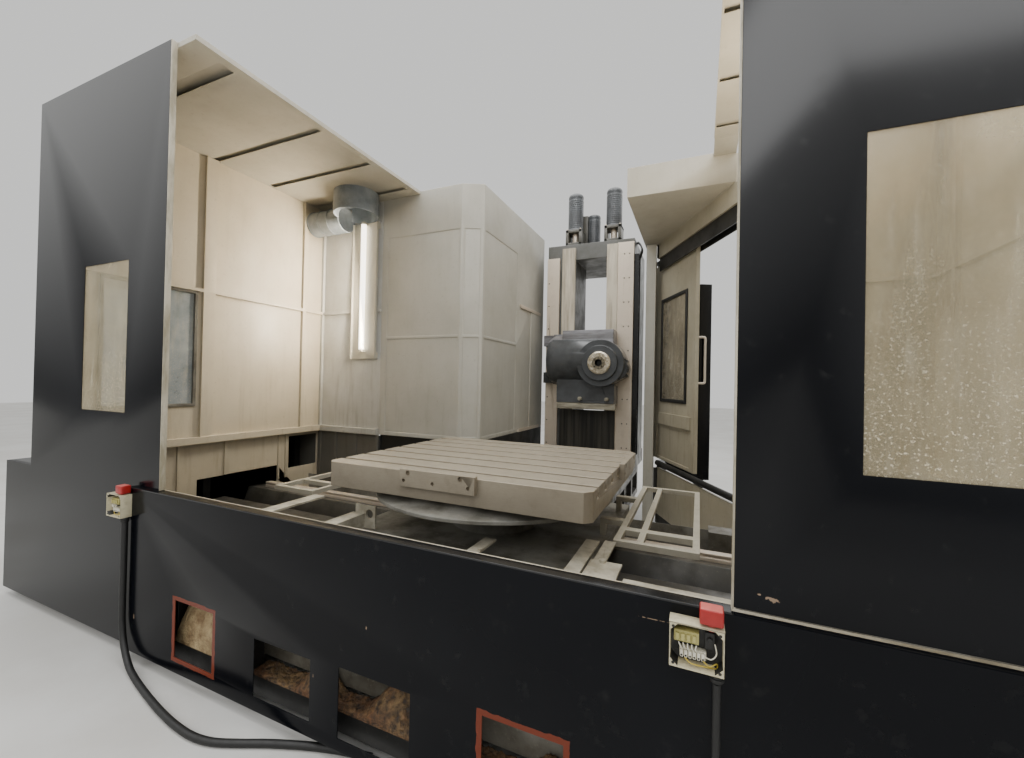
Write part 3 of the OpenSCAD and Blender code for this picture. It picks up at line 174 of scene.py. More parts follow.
def smooth_line(points, parts):
    """More points on a soft curve through the given ones, ends included."""
    line = []
    for i in range(len(points) - 1):
        a, b, c, d = (points[max(i - 1, 0)], points[i], points[i + 1],
                      points[min(i + 2, len(points) - 1)])
        for k in range(parts):
            t = k / parts
            line.append(0.5 * (2 * b + (c - a) * t + (2 * a - 5 * b + 4 * c - d) * t * t
                               + (3 * b - a - 3 * c + d) * t ** 3))
    return line + [points[-1]]


def wire(name, routes, radius, material, body, parts=5, replaced=()):
    """Round wires, pipes or hoses along routes of points, as one curve object."""
    curve = bpy.data.curves.new(name, "CURVE")
    curve.dimensions = "3D"
    curve.bevel_depth = radius * MM
    curve.bevel_resolution = 3
    curve.use_fill_caps = True
    for route in routes:
        line = smooth_line([Vector(p) for p in route], parts)
        spline = curve.splines.new("POLY")
        spline.points.add(len(line) - 1)
        for point, place in zip(spline.points, line):
            point.co = (*place, 1)
        spline.use_smooth = True
    curve.materials.append(material)
    return ride_along(bpy.data.objects.new(name, curve), body, replaced)


# %% [markdown]
# ## Finishes
# Old machine tools show layers: the paint as it was sprayed, a film of dried coolant on top,
# brown stains where it ran down, and bare metal where chips and shoes rubbed. Each finish below
# mixes such layers by noise whose scale comes from a real size in millimetres.


# %% Node helpers
def fill(tree, node, inputs):
    """Fills a node's inputs; each is a value or another node's socket."""
    for key, value in inputs.items():
        if isinstance(value, bpy.types.NodeSocket):
            tree.links.new(value, node.inputs[key])
        else:
            node.inputs[key].default_value = value


def add(tree, kind, inputs=None, **settings):
    """Adds one node with its settings and inputs."""
    node = tree.nodes.new(kind)
    for key, value in settings.items():
        setattr(node, key, value)
    fill(tree, node, inputs or {})
    return node


def new_finish(name):
    """A new material, its node tree, its shader and the place on the piece."""
    material = bpy.data.materials.new(name)
    material.use_nodes = True
    tree = material.node_tree
    shader = tree.nodes["Principled BSDF"]
    place = add(tree, "ShaderNodeTexCoord").outputs["Object"]
    return material, tree, shader, place


def mapped(tree, value, start, end, low=0, high=1):
    """A number that runs from low to high while the value runs from start to end."""
    return add(tree, "ShaderNodeMapRange", {"Value": value, "From Min": start, "From Max": end,
                                            "To Min": low, "To Max": high}, clamp=True).outputs[0]


def scaled(tree, mask, low, high):
    """A mask from 0 to 1 as a number between two others."""
    return mapped(tree, mask, 0, 1, low, high)


def grain(tree, place, size_mm, stretch=(1, 1, 1), detail=4, low=0.4, high=0.6):
    """A 0 to 1 mask of noise with blotches of a real size, stretched along an axis."""
    spread = add(tree, "ShaderNodeMapping", {"Vector": place, "Scale": [1 / s for s in stretch]})
    noise = add(tree, "ShaderNodeTexNoise", {"Vector": spread.outputs[0], "Scale": 1000 / size_mm,
                                             "Detail": detail, "Roughness": 0.6})
    return mapped(tree, noise.outputs["Fac"], low, high)


def layer(tree, mask, under, over):
    """Lays one colour over another by a mask; a colour is hex or a socket."""
    colours = [linear(c) if isinstance(c, str) else c for c in (under, over)]
    return add(tree, "ShaderNodeMix", {0: mask, 6: colours[0], 7: colours[1]},
               data_type="RGBA").outputs[2]


def joined(tree, operation, a, b=0):
    """Two masks or numbers joined by a math operation."""
    return add(tree, "ShaderNodeMath", {0: a, 1: b}, operation=operation).outputs[0]


def times(tree, product, *others):
    """The product of masks and numbers."""
    for other in others:
        product = joined(tree, "MULTIPLY", product, other)
    return product


def split(tree, place):
    """The X, Y and Z sockets of a place."""
    return add(tree, "ShaderNodeSeparateXYZ", {"Vector": place}).outputs


def bumped(tree, height, depth_mm, strength):
    """A bump whose depth is noted in millimetres."""
    return add(tree, "ShaderNodeBump", {"Height": height, "Distance": depth_mm * MM,
                                        "Strength": strength}).outputs[0]


def skin(tree, place, size_mm, depth_mm, strength, detail=3):
    """The fine waves in a sprayed or moulded surface, as a bump."""
    waves = grain(tree, place, size_mm, detail=detail, low=0.2, high=0.8)
    return bumped(tree, waves, depth_mm, strength)


# %% [markdown]
# ### Navy cabinet enamel
# The outside is a dark blue, nearly black, stoved enamel. It is glossy but not clean: hands
# and wiping cloths left wide vertical smears, so its roughness changes more than its colour. Two
# of the cut-outs were edged by brush with red-brown primer, and a few chips show the bare sheet.

# %% Navy enamel
NAVY = ("#07080c", "#0d0f14")
PRIMED_CUT_OUTS = [(-1130, -842, 125, 402), (555, 834, 88, 394)]
RIM_MM = 20
LOW_CHIPS = [(60, 560, 5, 16), (-205, 300, 4, 14), (2300, 330, 12, 5), (-1480, 240, 6, 22),
             (1090, 838, 60, 2)]
RIGHT_CHIPS = [(1380, 945, 26, 11), (1350, 953, 12, 5)]


def ragged(tree, place, size_mm, detail, reach):
    """A number between minus and plus a reach that makes an edge ragged."""
    noise = add(tree, "ShaderNodeTexNoise", {"Vector": place, "Scale": 1000 / size_mm, "Detail": detail})
    return scaled(tree, noise.outputs["Fac"], -reach, reach)


def near_rectangle(tree, place, x0, x1, z0, z1):
    """1 inside a rectangle of the front view and within a brush's reach of its edge."""
    wobble = ragged(tree, place, 40, 3, 0.008)
    parts = split(tree, place)
    gaps = []
    for socket, low, high in ((parts["X"], x0, x1), (parts["Z"], z0, z1)):
        offset = joined(tree, "ABSOLUTE", joined(tree, "SUBTRACT", socket, (low + high) / 2 * MM))
        gaps.append(joined(tree, "SUBTRACT", offset, (high - low) / 2 * MM))
    gap = joined(tree, "ADD", joined(tree, "MAXIMUM", *gaps), wobble)
    return joined(tree, "LESS_THAN", gap, RIM_MM * MM)


def spot(tree, place, x, z, size_x, size_z):
    """1 inside a ragged chip on the front face."""
    moved = add(tree, "ShaderNodeMapping", {"Vector": place, "Location": (-x / size_x, 0, -z / size_z),
                                            "Scale": (1000 / size_x, 0, 1000 / size_z)})
    far = add(tree, "ShaderNodeVectorMath", {0: moved.outputs[0]}, operation="LENGTH").outputs["Value"]
    return joined(tree, "LESS_THAN", joined(tree, "ADD", far, ragged(tree, place, 9, 4, 0.9)), 0.5)


def navy_enamel(name, rims=(), chips=(), shine=1.42, low_gloss=0.2):
    """Stoved enamel; shine is its index of refraction, low_gloss its reflection below a metre."""
    material, tree, shader, place = new_finish(name)
    smear = grain(tree, place, 900, stretch=(1, 1, 2.6), detail=3, low=0.3, high=0.75)
    dust = grain(tree, place, 50, detail=7, low=0.6, high=0.8)
    colour = layer(tree, smear, *NAVY)
    colour = layer(tree, scaled(tree, dust, 0, 0.14), colour, "#4a4a46")
    for rim in rims:
        colour = layer(tree, near_rectangle(tree, place, *rim), colour, "#6e3526")
    for chip in chips:
        colour = layer(tree, spot(tree, place, *chip), colour, "#8f7a66")
    rough = joined(tree, "ADD", scaled(tree, smear, 0.12, 0.22), scaled(tree, dust, 0, 0.12))
    # Boots and mops have dulled the gloss low down
    gloss = mapped(tree, split(tree, place)["Z"], 0.85, 1.5, low_gloss, 0.5)
    # Orange peel of sprayed enamel is about 3 mm across
    peel = skin(tree, place, 3.5, 0.06, 0.12, detail=2)
    fill(tree, shader, {"Base Color": colour, "Roughness": rough, "Normal": peel, "IOR": shine,
                        "Specular IOR Level": gloss})
    return material


enamel = navy_enamel("navy_cabinet_enamel")
plinth_enamel = navy_enamel("scuffed_plinth_enamel", shine=1.27)
right_enamel = navy_enamel("navy_cabinet_enamel_chipped", chips=RIGHT_CHIPS)
low_enamel = navy_enamel("navy_enamel_with_primer_rims", PRIMED_CUT_OUTS, LOW_CHIPS, 1.24, 0.42)
print("navy enamel ready")

# %% [markdown]
# ### Cream working-zone enamel
# Inside, the sheets are cream so that the zone looks light. Coolant mist dries on them as a
# brown film that is heaviest low down, with runs that follow gravity.

# %% Cream enamel
LEDGE_Z = 964


def cream_enamel(name, base="#cfc5b0", film="#a99c80", stain="#6e5d41", low_z=1.0, amount=1.0,
                 below=None):
    """Cream enamel whose film grows round the height low_z, in metres."""
    material, tree, shader, place = new_finish(name)
    cloud = grain(tree, place, 520, detail=6, low=0.38, high=0.68)
    runs = grain(tree, place, 60, stretch=(1, 1, 9), detail=5, low=0.52, high=0.78)
    height = split(tree, place)["Z"]
    low_down = mapped(tree, height, low_z + 0.75, low_z - 0.25)
    spots = grain(tree, place, 26, detail=7, low=0.6, high=0.7)
    colour = layer(tree, scaled(tree, cloud, 0, 0.4 * amount), base, film)
    for mask, share, tone in ((runs, 0.22, film), (times(tree, low_down, runs), 0.4, stain),
                              (low_down, 0.35, film), (spots, 0.18, stain)):
        colour = layer(tree, times(tree, mask, share * amount), colour, tone)
    if below:
        # Below the ledge the sheet is darker
        under_ledge = joined(tree, "LESS_THAN", height, LEDGE_Z * MM)
        colour = layer(tree, times(tree, under_ledge, 0.8), colour, below)
    fill(tree, shader, {"Base Color": colour, "Roughness": scaled(tree, cloud, 0.3, 0.55),
                        "Normal": skin(tree, place, 5, 0.1, 0.2)})
    return material


cream = cream_enamel("cream_zone_enamel")
cream_high = cream_enamel("cream_enamel_of_roofs", base="#bdb8a9", film="#9c9684", low_z=-2)
cream_low = cream_enamel("cream_enamel_splashed", base="#b5ae9a", film="#8c8269", stain="#564a34",
                         low_z=1.1, amount=1.2)
cream_grey = cream_enamel("cream_enamel_under_grey_mist", base="#bab7ac", film="#989383",
                          stain="#6e6047", low_z=0.9)
cream_corner = cream_enamel("cream_enamel_of_the_splashed_corner", base="#cfcfcb", film="#a09b8b",
                            stain="#5f4e38", low_z=1.3, amount=1.35, below="#4d493e")
print("cream enamels ready")


# %% [markdown]
# ### Bare and painted metals
# Ground cast iron and steel are metals with fine parallel lines from the grinding wheel; the
# direction of the lines matters more than their depth. Castings have thick oily grey paint.

# %% Metals
def ground_metal(name, bright, dull, stain, lines, rough, metallic, stain_share):
    """Ground iron or steel; lines is how far the grinding marks are stretched along X, Y and Z."""
    material, tree, shader, place = new_finish(name)
    # Grinding lines are under 1 mm apart on the real part; they are drawn wider so that they show
    hatch = grain(tree, place, 3, stretch=lines, detail=3, low=0.3, high=0.7)
    cloud = grain(tree, place, 240, detail=6, low=0.4, high=0.66)
    rust = grain(tree, place, 70, detail=7, low=0.55, high=0.72)
    colour = layer(tree, scaled(tree, hatch, 0, 0.22), bright, dull)
    colour = layer(tree, scaled(tree, cloud, 0, stain_share), colour, dull)
    colour = layer(tree, scaled(tree, rust, 0, stain_share * 0.6), colour, stain)
    rough_map = joined(tree, "ADD", scaled(tree, hatch, rough[0], rough[1] - 0.08),
                       scaled(tree, cloud, 0, 0.12))
    fill(tree, shader, {"Base Color": colour, "Roughness": rough_map, "Metallic": metallic,
                        "Normal": bumped(tree, hatch, 0.03, 0.12)})
    return material


def fleck_masks(tree, place):
    """Wide clouds of dirt and small flecks of rubbed paint."""
    return (grain(tree, place, 180, detail=6, low=0.4, high=0.66),
            grain(tree, place, 14, detail=8, low=0.6, high=0.68))


def thick_paint(name, base, worn, oil, rough=(0.28, 0.55), wear=0.4, darker_low_down=False):
    """Casting paint with oily clouds and worn flecks."""
    material, tree, shader, place = new_finish(name)
    cloud, flecks = fleck_masks(tree, place)
    colour = layer(tree, cloud, base, oil)
    colour = layer(tree, scaled(tree, flecks, 0, wear), colour, worn)
    if darker_low_down:
        # The casting is darker towards the bottom, nearly black below half a metre
        low_darkening = mapped(tree, split(tree, place)["Z"], 0.54, 0.38, 0, 0.8)
        colour = layer(tree, low_darkening, colour, "#1d1914")
    fill(tree, shader, {"Base Color": colour, "Roughness": scaled(tree, cloud, *rough),
                        "Normal": skin(tree, place, 6, 0.3, 0.25)})
    return material


table_iron = ground_metal("ground_cast_iron_of_the_table", "#a49a88", "#7c7363", "#5e5544",
                          lines=(14, 1, 1), rough=(0.34, 0.55), metallic=0.45, stain_share=0.45)
way_steel = ground_metal("ground_steel_ways", "#dccfbd", "#bcae9b", "#96866f", lines=(1, 1, 12),
                         rough=(0.28, 0.45), metallic=0.35, stain_share=0.25)
bar_steel = ground_metal("pale_flat_bar", "#b9b3a2", "#98917f", "#74684f", lines=(1, 30, 1),
                         rough=(0.4, 0.65), metallic=0.3, stain_share=0.5)
grey_casting = thick_paint("oily_grey_casting_paint", "#57554e", "#7b7668", "#35332c", darker_low_down=True)
saddle_paint = thick_paint("worn_grey_saddle_paint", "#85837b", "#a09b8c", "#56534a")
column_paint = thick_paint("grey_column_paint", "#5f5f5c", "#77756c", "#4e4e49", wear=0.18)
pale_sheet = thick_paint("pale_trough_sheet", "#77746b", "#979182", "#4a4539")
black_paint = thick_paint("black_machine_enamel", "#1b1c1c", "#4b4a44", "#121313",
                          rough=(0.14, 0.32), wear=0.12)
motor_paint = thick_paint("grey_motor_enamel", "#55585b", "#7d7b73", "#3b3c3d", rough=(0.25, 0.45),
                          wear=0.2)
duct_paint = thick_paint("blue_grey_duct_paint", "#8a9196", "#a3a39d", "#6b7277", rough=(0.3, 0.5))
frame_paint = thick_paint("dark_frame_paint", "#1d1d1c", "#4a4336", "#131312", rough=(0.35, 0.6))
print("metals ready")

# %% [markdown]
# The folded cap of the low panel is navy like the panel. Only its inner edge is pale, and so are
# the two uprights beside the opening.

# %% Cap with a pale edge
PALE_EDGE_Y = 22
PALE_UPRIGHT_Z = 903
trim_metal, tree, shader, place = new_finish("navy_cap_with_pale_edge")
parts = split(tree, place)
inner_edge = joined(tree, "GREATER_THAN", parts["Y"], (FRONT + PALE_EDGE_Y) * MM)
upright = joined(tree, "GREATER_THAN", parts["Z"], PALE_UPRIGHT_Z * MM)
pale_patch = joined(tree, "MAXIMUM", inner_edge, upright)
# The pale colour of the inner edge and the uprights
worn = layer(tree, grain(tree, place, 60, stretch=(8, 1, 4), detail=5), "#c4bdab", "#98907b")
painted = layer(tree, grain(tree, place, 700), *NAVY)
fill(tree, shader, {"Base Color": layer(tree, pale_patch, painted, worn),
                    "Roughness": scaled(tree, pale_patch, 0.2, 0.45),
                    "Normal": skin(tree, place, 3.5, 0.06, 0.12, detail=2)})
print("cap ready")

# %% [markdown]
# The spindle nose is bright at its ring and duller on the drive face; inside the taper it is painted
# black as painted shade.

# %% Spindle nose
NOSE_X = 268
NOSE_Z = 1715
TAPER_R = 36
PILOT_R = 65
nose_finish, tree, shader, place = new_finish("hardened_nose_with_painted_shade_in_taper")
centred = add(tree, "ShaderNodeVectorMath", {0: place, 1: (NOSE_X * MM, 0, NOSE_Z * MM)},
              operation="SUBTRACT").outputs[0]
flat = add(tree, "ShaderNodeVectorMath", {0: centred, 1: (1, 0, 1)}, operation="MULTIPLY").outputs[0]
reach = add(tree, "ShaderNodeVectorMath", {0: flat}, operation="LENGTH").outputs["Value"]
bright = layer(tree, grain(tree, place, 22, detail=7), "#dcd3c0", "#a3957a")
worn = layer(tree, grain(tree, place, 12, detail=7), "#8f8672", "#5e5748")
colour = layer(tree, joined(tree, "LESS_THAN", reach, PILOT_R * MM), bright, worn)
# Painted shade: the taper bore is coloured near black
colour = layer(tree, joined(tree, "LESS_THAN", reach, TAPER_R * MM), colour, "#171613")
fill(tree, shader, {"Base Color": colour, "Metallic": 0.5, "Roughness": 0.3,
                    "Normal": bumped(tree, grain(tree, place, 5, detail=4), 0.1, 0.2)})
print("nose ready")

# %% [markdown]
# The flat bars that carried the floor covers are pale, worn steel. The rail behind the low panel
# is the same bar, but its left part is dark.

# %% Bars
RAIL_BACK = 61
PALE_FROM = 700
FADE = 60
arm_finish, tree, shader, place = new_finish("pale_bars_and_dark_rail")
parts = split(tree, place)
rail = joined(tree, "LESS_THAN", parts["Y"], (FRONT + RAIL_BACK) * MM)
# The left part of the rail is dark
dark = times(tree, rail, mapped(tree, parts["X"], (PALE_FROM - FADE) * MM, PALE_FROM * MM, 1, 0.15))
bars = layer(tree, grain(tree, place, 90, detail=6), "#b9b3a2", "#958e7c")
flecks = grain(tree, place, 25, detail=7, low=0.55, high=0.7)
bars = layer(tree, scaled(tree, flecks, 0, 0.4), bars, "#6d6350")
fill(tree, shader, {"Base Color": layer(tree, dark, bars, "#1b1c1e"), "Roughness": 0.42,
                    "Normal": skin(tree, place, 4, 0.1, 0.2)})
print("bars ready")

# %% [markdown]
# Under the head the way cover is a dark blind of vertical slats; the casings above it are pale.

# %% Cover in two finishes
COVER_TOP = 1217
COVER_Y = 3341.8
cover_finish, tree, shader, place = new_finish("pale_casings_over_dark_slats")
parts = split(tree, place)
low_down = joined(tree, "LESS_THAN", parts["Z"], COVER_TOP * MM)
in_front = joined(tree, "LESS_THAN", parts["Y"], (FRONT + COVER_Y) * MM)
pale = layer(tree, grain(tree, place, 60, stretch=(1, 1, 9), detail=6), "#cfc6b3", "#a79d8a")
dark = layer(tree, grain(tree, place, 42, stretch=(1, 1, 30), detail=2, low=0.35, high=0.7),
             "#1d1c19", "#45423a")
fill(tree, shader, {"Base Color": layer(tree, times(tree, low_down, in_front), pale, dark),
                    "Roughness": 0.42, "Normal": skin(tree, place, 3, 0.05, 0.15)})
print("screw covers ready")


# %% [markdown]
# The head is glossy black. Its top lid is light grey as a painted reflection, and the bar under its
# lower casing is pale.

# %% Head finishes
def black_enamel_with_pale_boxes(name, pale_boxes, pale_tone, pale_dull):
    """Black enamel that is pale inside boxes given by their y and z limits in millimetres."""
    material, tree, shader, place = new_finish(name)
    cloud, flecks = fleck_masks(tree, place)
    paint = layer(tree, cloud, "#505254", "#3b3d3e")
    paint = layer(tree, scaled(tree, flecks, 0, 0.15), paint, "#5a5850")
    parts = split(tree, place)
    inside = 0
    for y0, y1, z0, z1 in pale_boxes:
        here = times(tree, joined(tree, "GREATER_THAN", parts["Y"], (FRONT + y0) * MM),
                     joined(tree, "LESS_THAN", parts["Y"], (FRONT + y1) * MM),
                     joined(tree, "GREATER_THAN", parts["Z"], z0 * MM),
                     joined(tree, "LESS_THAN", parts["Z"], z1 * MM))
        inside = joined(tree, "MAXIMUM", inside, here)
    pale_patch = layer(tree, grain(tree, place, 45, stretch=(6, 1, 1), detail=5), pale_tone, pale_dull)
    rough = joined(tree, "ADD", scaled(tree, cloud, 0.14, 0.26), scaled(tree, inside, 0, 0.15))
    fill(tree, shader, {"Base Color": layer(tree, inside, paint, pale_patch), "Roughness": rough,
                        "Normal": skin(tree, place, 6, 0.2, 0.2)})
    return material


# The grey on the lid is a painted reflection of the hall lights on its front face
head_finish = black_enamel_with_pale_boxes("black_enamel_with_painted_reflection_on_lid", [(3128, 3400, 1892, 2200)],
                                "#7f7e82", "#5f5e5f")
# The bar under the lower casing is pale
skirt_finish = black_enamel_with_pale_boxes("black_enamel_with_pale_bar",
                                 [(3110, 3180, 1230, 1300), (3050, 3124, 1300, 1400)],
                                 "#a8a28f", "#7e7868")
print("head finishes ready")


# %% [markdown]
# ### Plastics, rubber and the lamp
# The windows are polycarbonate that thousands of hot chips have scratched. Light comes through,
# but a shape behind it blurs. The lamp is a frosted tube that glows.

# %% Window sheet
def scratched_polycarbonate(name, tint, haze, cover):
    """Clear sheet under haze, dried runs and specks; cover is how much the cleanest part hides."""
    material, tree, shader, place = new_finish(name)
    drops = grain(tree, place, 7.5, detail=6, low=0.54, high=0.66)
    runs = grain(tree, place, 34, stretch=(1, 1, 8), detail=6, low=0.52, high=0.76)
    cloud = grain(tree, place, 210, detail=5, low=0.35, high=0.7)
    shade = grain(tree, place, 150, stretch=(1, 1, 7), detail=6, low=0.5, high=0.68)
    low_down = mapped(tree, split(tree, place)["Z"], 1.95, 1.4)
    dirt = times(tree, drops, scaled(tree, low_down, 0.15, 1))
    colour = layer(tree, cloud, tint, haze)
    hidden = scaled(tree, cloud, cover, cover + 0.16)
    for mask, share, tone, hides in ((shade, 0.4, "#6f6757", 0.6), (runs, 0.55, "#dcd4bd", 0.75),
                                     (dirt, 1, "#e6dcc3", 0.8)):
        colour = layer(tree, times(tree, mask, share), colour, tone)
        hidden = joined(tree, "MAXIMUM", hidden, times(tree, mask, hides))
    fill(tree, shader, {"Base Color": colour, "Roughness": scaled(tree, cloud, 0.12, 0.3),
                        "Alpha": hidden, "Normal": bumped(tree, drops, 0.2, 0.35), "IOR": 1.58})
    return material


window_sheet = scratched_polycarbonate("scratched_polycarbonate", "#a69a79", "#bdb293", 0.33)
side_sheet = scratched_polycarbonate("side_window_polycarbonate", "#9aa5ab", "#c2c8c6", 0.5)
door_sheet = scratched_polycarbonate("door_window_polycarbonate", "#8d8470", "#a39a84", 0.72)


# %% Plastics and lamp
def moulded(name, base, worn, rough=0.4, share=0.3):
    """Moulded plastic or rubber with cloudy wear."""
    material, tree, shader, place = new_finish(name)
    cloud = grain(tree, place, 30, detail=6, low=0.45, high=0.7)
    fill(tree, shader, {"Base Color": layer(tree, scaled(tree, cloud, 0, share), base, worn),
                        "Roughness": scaled(tree, cloud, rough, rough + 0.15),
                        "Normal": skin(tree, place, 1.2, 0.03, 0.2, detail=2), "IOR": 1.53})
    return material


box_abs = moulded("aged_cream_abs", "#c9c1a4", "#8d8262", share=0.5)
red_abs = moulded("red_button_abs", "#a3211f", "#7a1a18", rough=0.32)
# Pink for the tops of the stop buttons is a painted highlight
red_top_highlight = moulded("red_top_with_painted_highlight", "#c9645c", "#a94840", rough=0.5)
rubber = moulded("black_pvc_sheath", "#0b0b0b", "#1b1a16", rough=0.55)
seal_rubber = moulded("black_window_seal", "#1a1a18", "#3a382f", rough=0.6)
nylon = moulded("white_nylon_terminal", "#dcd8c8", "#b3ab90", rough=0.45)
contactor_plastic = moulded("yellowed_contactor_plastic", "#b5ad6e", "#8d8450", rough=0.5)
yellow_pvc = moulded("yellow_wire_pvc", "#b8a13c", "#8d7c2e")

lamp_glow, tree, shader, place = new_finish("frosted_lamp_glass")
fill(tree, shader, {"Base Color": linear("#f5efe0"), "Emission Strength": 5.0,
                    "Emission Color": layer(tree, grain(tree, place, 40), "#fff4dd", "#fffaf0")})
print("plastics and lamp ready")


# %% [markdown]
# ### Swarf
# Brown, oily chips lie under the table and behind the cut-outs of the low panel.

# %% Swarf finish
def chips_finish(name, pale_chips=False):
    """Curled metal chips, brown with oil, or paler all over when pale_chips is set."""
    material, tree, shader, place = new_finish(name)
    curl = grain(tree, place, 24, detail=9, low=0.35, high=0.65)
    patch = grain(tree, place, 130, detail=4, low=0.4, high=0.62)
    colour = layer(tree, patch, layer(tree, curl, "#1d130b", "#6d4a2c"),
                   layer(tree, curl, "#2a1e12", "#7d6442"))
    if pale_chips:
        # The pale copy is lighter all over
        colour = layer(tree, grain(tree, place, 60, detail=6, low=0.3, high=0.65), "#6f5536", "#b9a47c")
    fill(tree, shader, {"Base Color": colour, "Roughness": 0.6, "Normal": bumped(tree, curl, 8, 0.9)})
    return material


swarf = chips_finish("oily_brown_swarf")
pale_swarf = chips_finish("pale_left_bay_swarf", pale_chips=True)
print("swarf finishes ready")

# %% [markdown]
# ## The cable on the floor
# The left switch box keeps its thick rubber cable. It drops from the gland, sweeps out over the
# floor and goes back under the cabin, so both its ends belong to the machine. The points are those
# of the CAD solid, in millimetres.

# %% Cable
CABLE_R = 15
CABLE_PARTS = 4
CABLE = [(-1542, -47, 726), (-1542, -47, 500), (-1542, -47, 260), (-1535, -48, 190),
         (-1512, -52, 120), (-1462, -62, 60), (-1390, -78, 26), (-1300, -98, 16),
         (-1200, -120, 15.5), (-1070, -146, 15.5), (-940, -168, 15.5), (-810, -184, 15.5),
         (-690, -188, 15.5), (-590, -172, 15.5), (-490, -132, 15.5), (-390, -86, 15.5),
         (-290, -46, 15.5), (-180, -8, 15.5), (-70, 22, 15.5), (40, 42, 15.5)]
cable_points = [at(*p) for p in CABLE]
cable = wire("floor_cable", [cable_points], CABLE_R, rubber, "cabin",
             parts=CABLE_PARTS, replaced=["cabin_cable"])

# %% [markdown]
# ## Rounded copies of the CAD pieces
# A drawn edge is perfectly sharp, and a real one never is: sheet is folded over a radius, castings
# are fettled, plates are chamfered. Light catches on that radius, so each CAD piece is copied, its
# triangles are merged back into flats, and its sharp edges get a small bevel.

# %% Rounding
FINISHES = {
    "cabin_base": frame_paint, "levelling_feet": rubber, "left_front_panel": enamel,
    "right_front_panel": right_enamel, "low_front_panel": low_enamel, "front_trim": trim_metal,
    "side_plinths": plinth_enamel, "cabin_posts": frame_paint, "left_outer_wall": enamel,
    "right_outer_wall": enamel, "left_inner_wall": cream, "left_lower_wall": cream,
    "side_window_frame": pale_sheet, "right_inner_wall": cream, "left_roof": cream_high,
    "right_roof": cream_high, "rear_left_wall": cream_corner, "rear_right_wall": cream,
    "lamp_fixture": cream_high, "mist_duct": duct_paint, "tool_housing": cream_grey,
    "hatch_rails": way_steel, "tool_hatch": cream_grey, "magazine_frame": grey_casting,
    "magazine_disc": way_steel, "rear_roof": cream_high, "door_frame": cream_low,
    "rear_post": cream_grey, "door_rails": frame_paint, "door_outer_cover": enamel,
    "door_leaf": cream_low, "chip_troughs": pale_sheet, "support_arms": arm_finish,
    "front_bed": grey_casting, "rear_bed": grey_casting, "guide_rails": way_steel,
    "drive_motors": black_paint, "table_saddle": saddle_paint, "cover_frames": bar_steel,
    "rotary_base": saddle_paint, "table_plate": table_iron, "stop_plates": table_iron,
    "column": column_paint, "column_guides": way_steel, "screw_covers": cover_finish,
    "cable_duct": black_paint, "spindle_head": head_finish, "head_skirt": skirt_finish,
    "spindle_nose": nose_finish,
}
EDGE_MM = {"spindle_head": 5, "column": 5, "table_saddle": 5, "front_bed": 5, "rear_bed": 5,
           "rotary_base": 3, "table_plate": 2, "stop_plates": 1.5, "tool_housing": 3,
           "magazine_frame": 3, "head_skirt": 3, "cabin_base": 4, "rear_post": 3,
           "spindle_nose": 1.2, "door_leaf": 2}
EDGE_ELSEWHERE = 1.0
SHARP = math.radians(40)
# Rims of small screw holes are drawn as short edges and stay sharp
SHORT_MM = 9
WELD_M = 0.00002
FLAT = math.radians(0.5)


def softened(node, width_mm, material):
    """A copy of a CAD node with flats merged and its sharp edges rounded."""
    bm = bmesh.new()
    bm.from_mesh(frame["nodes"][node].data)
    bmesh.ops.remove_doubles(bm, verts=bm.verts, dist=WELD_M)
    bmesh.ops.dissolve_limit(bm, angle_limit=FLAT, verts=bm.verts, edges=bm.edges)
    edges = [e for e in bm.edges if e.is_manifold and e.calc_face_angle(0) > SHARP
             and e.calc_length() > SHORT_MM * MM]
    bmesh.ops.bevel(bm, geom=edges, offset=width_mm * MM, segments=2, profile=0.5,
                    affect="EDGES", material=-1)
    return finish_piece(node + "_dressed", bm, material, body_of[node], [node],
                        crease=20, outward=False)


for node, material in FINISHES.items():
    softened(node, EDGE_MM.get(node, EDGE_ELSEWHERE), material)
print("rounded", len(FINISHES), "CAD pieces")

# %% Panes and lamp keep their CAD shape
for node, material in (("front_windows", window_sheet), ("side_window_pane", side_sheet),
                       ("lamp_tube", lamp_glow)):
    mesh = frame["nodes"][node].data
    mesh.materials.clear()
    mesh.materials.append(material)
print("panes done")

# %% [markdown]
# ## Switch boxes and their stop buttons
# Both front boxes have lost their lids. Each is a moulded case with a screw post in every corner,
# a contact block, a strip of white terminals and a few loose wires. The case starts as a block:
# its front face is inset, the corners of the inner face are cut off, and that face is pushed in.

# %% Boxes
BOX = (135, 50, 118)
WALL = 5
CORNER_CUT = 19
CASE_EDGE = 1.4
BOX_Z = 752
BOX_FACE = -75
BOX_X = {"left": -1660, "right": 1132}
DEEP = BOX[1] - WALL


def box_block(bm, x0, x, y, z, bevel=0.0, material=0):
    """A block noted in millimetres from a box's lower front corner at x0."""
    block(bm, (x0 + x[0], x0 + x[1]), (BOX_FACE + y[0], BOX_FACE + y[1]),
          (BOX_Z + z[0], BOX_Z + z[1]), bevel, material=material)


def box_point(x0, x, y, z):
    """A point noted from the same corner."""
    return at(x0 + x, BOX_FACE + y, BOX_Z + z)


def open_case(bm, x0):
    """A case with an eight-sided mouth."""
    box_block(bm, x0, (0, BOX[0]), (0, BOX[1]), (0, BOX[2]))
    front = min(bm.faces, key=lambda f: f.calc_center_median().y)
    bmesh.ops.inset_region(bm, faces=[front], thickness=WALL * MM)
    bmesh.ops.bevel(bm, geom=list(front.verts), offset=CORNER_CUT * MM, segments=1, profile=0.5,
                    affect="VERTICES", material=-1)
    mouth = [f for f in bm.faces if len(f.verts) == 8]
    deep = bmesh.ops.extrude_discrete_faces(bm, faces=mouth)["faces"]
    bmesh.ops.translate(bm, vec=(0, DEEP * MM, 0), verts=list(deep[0].verts))


def screw(bm, foot, axis, radius, height, material=0):
    """The round head of a screw."""
    rod(bm, foot, axis, radius, height, sides=20, bevel=height * 0.25, material=material)


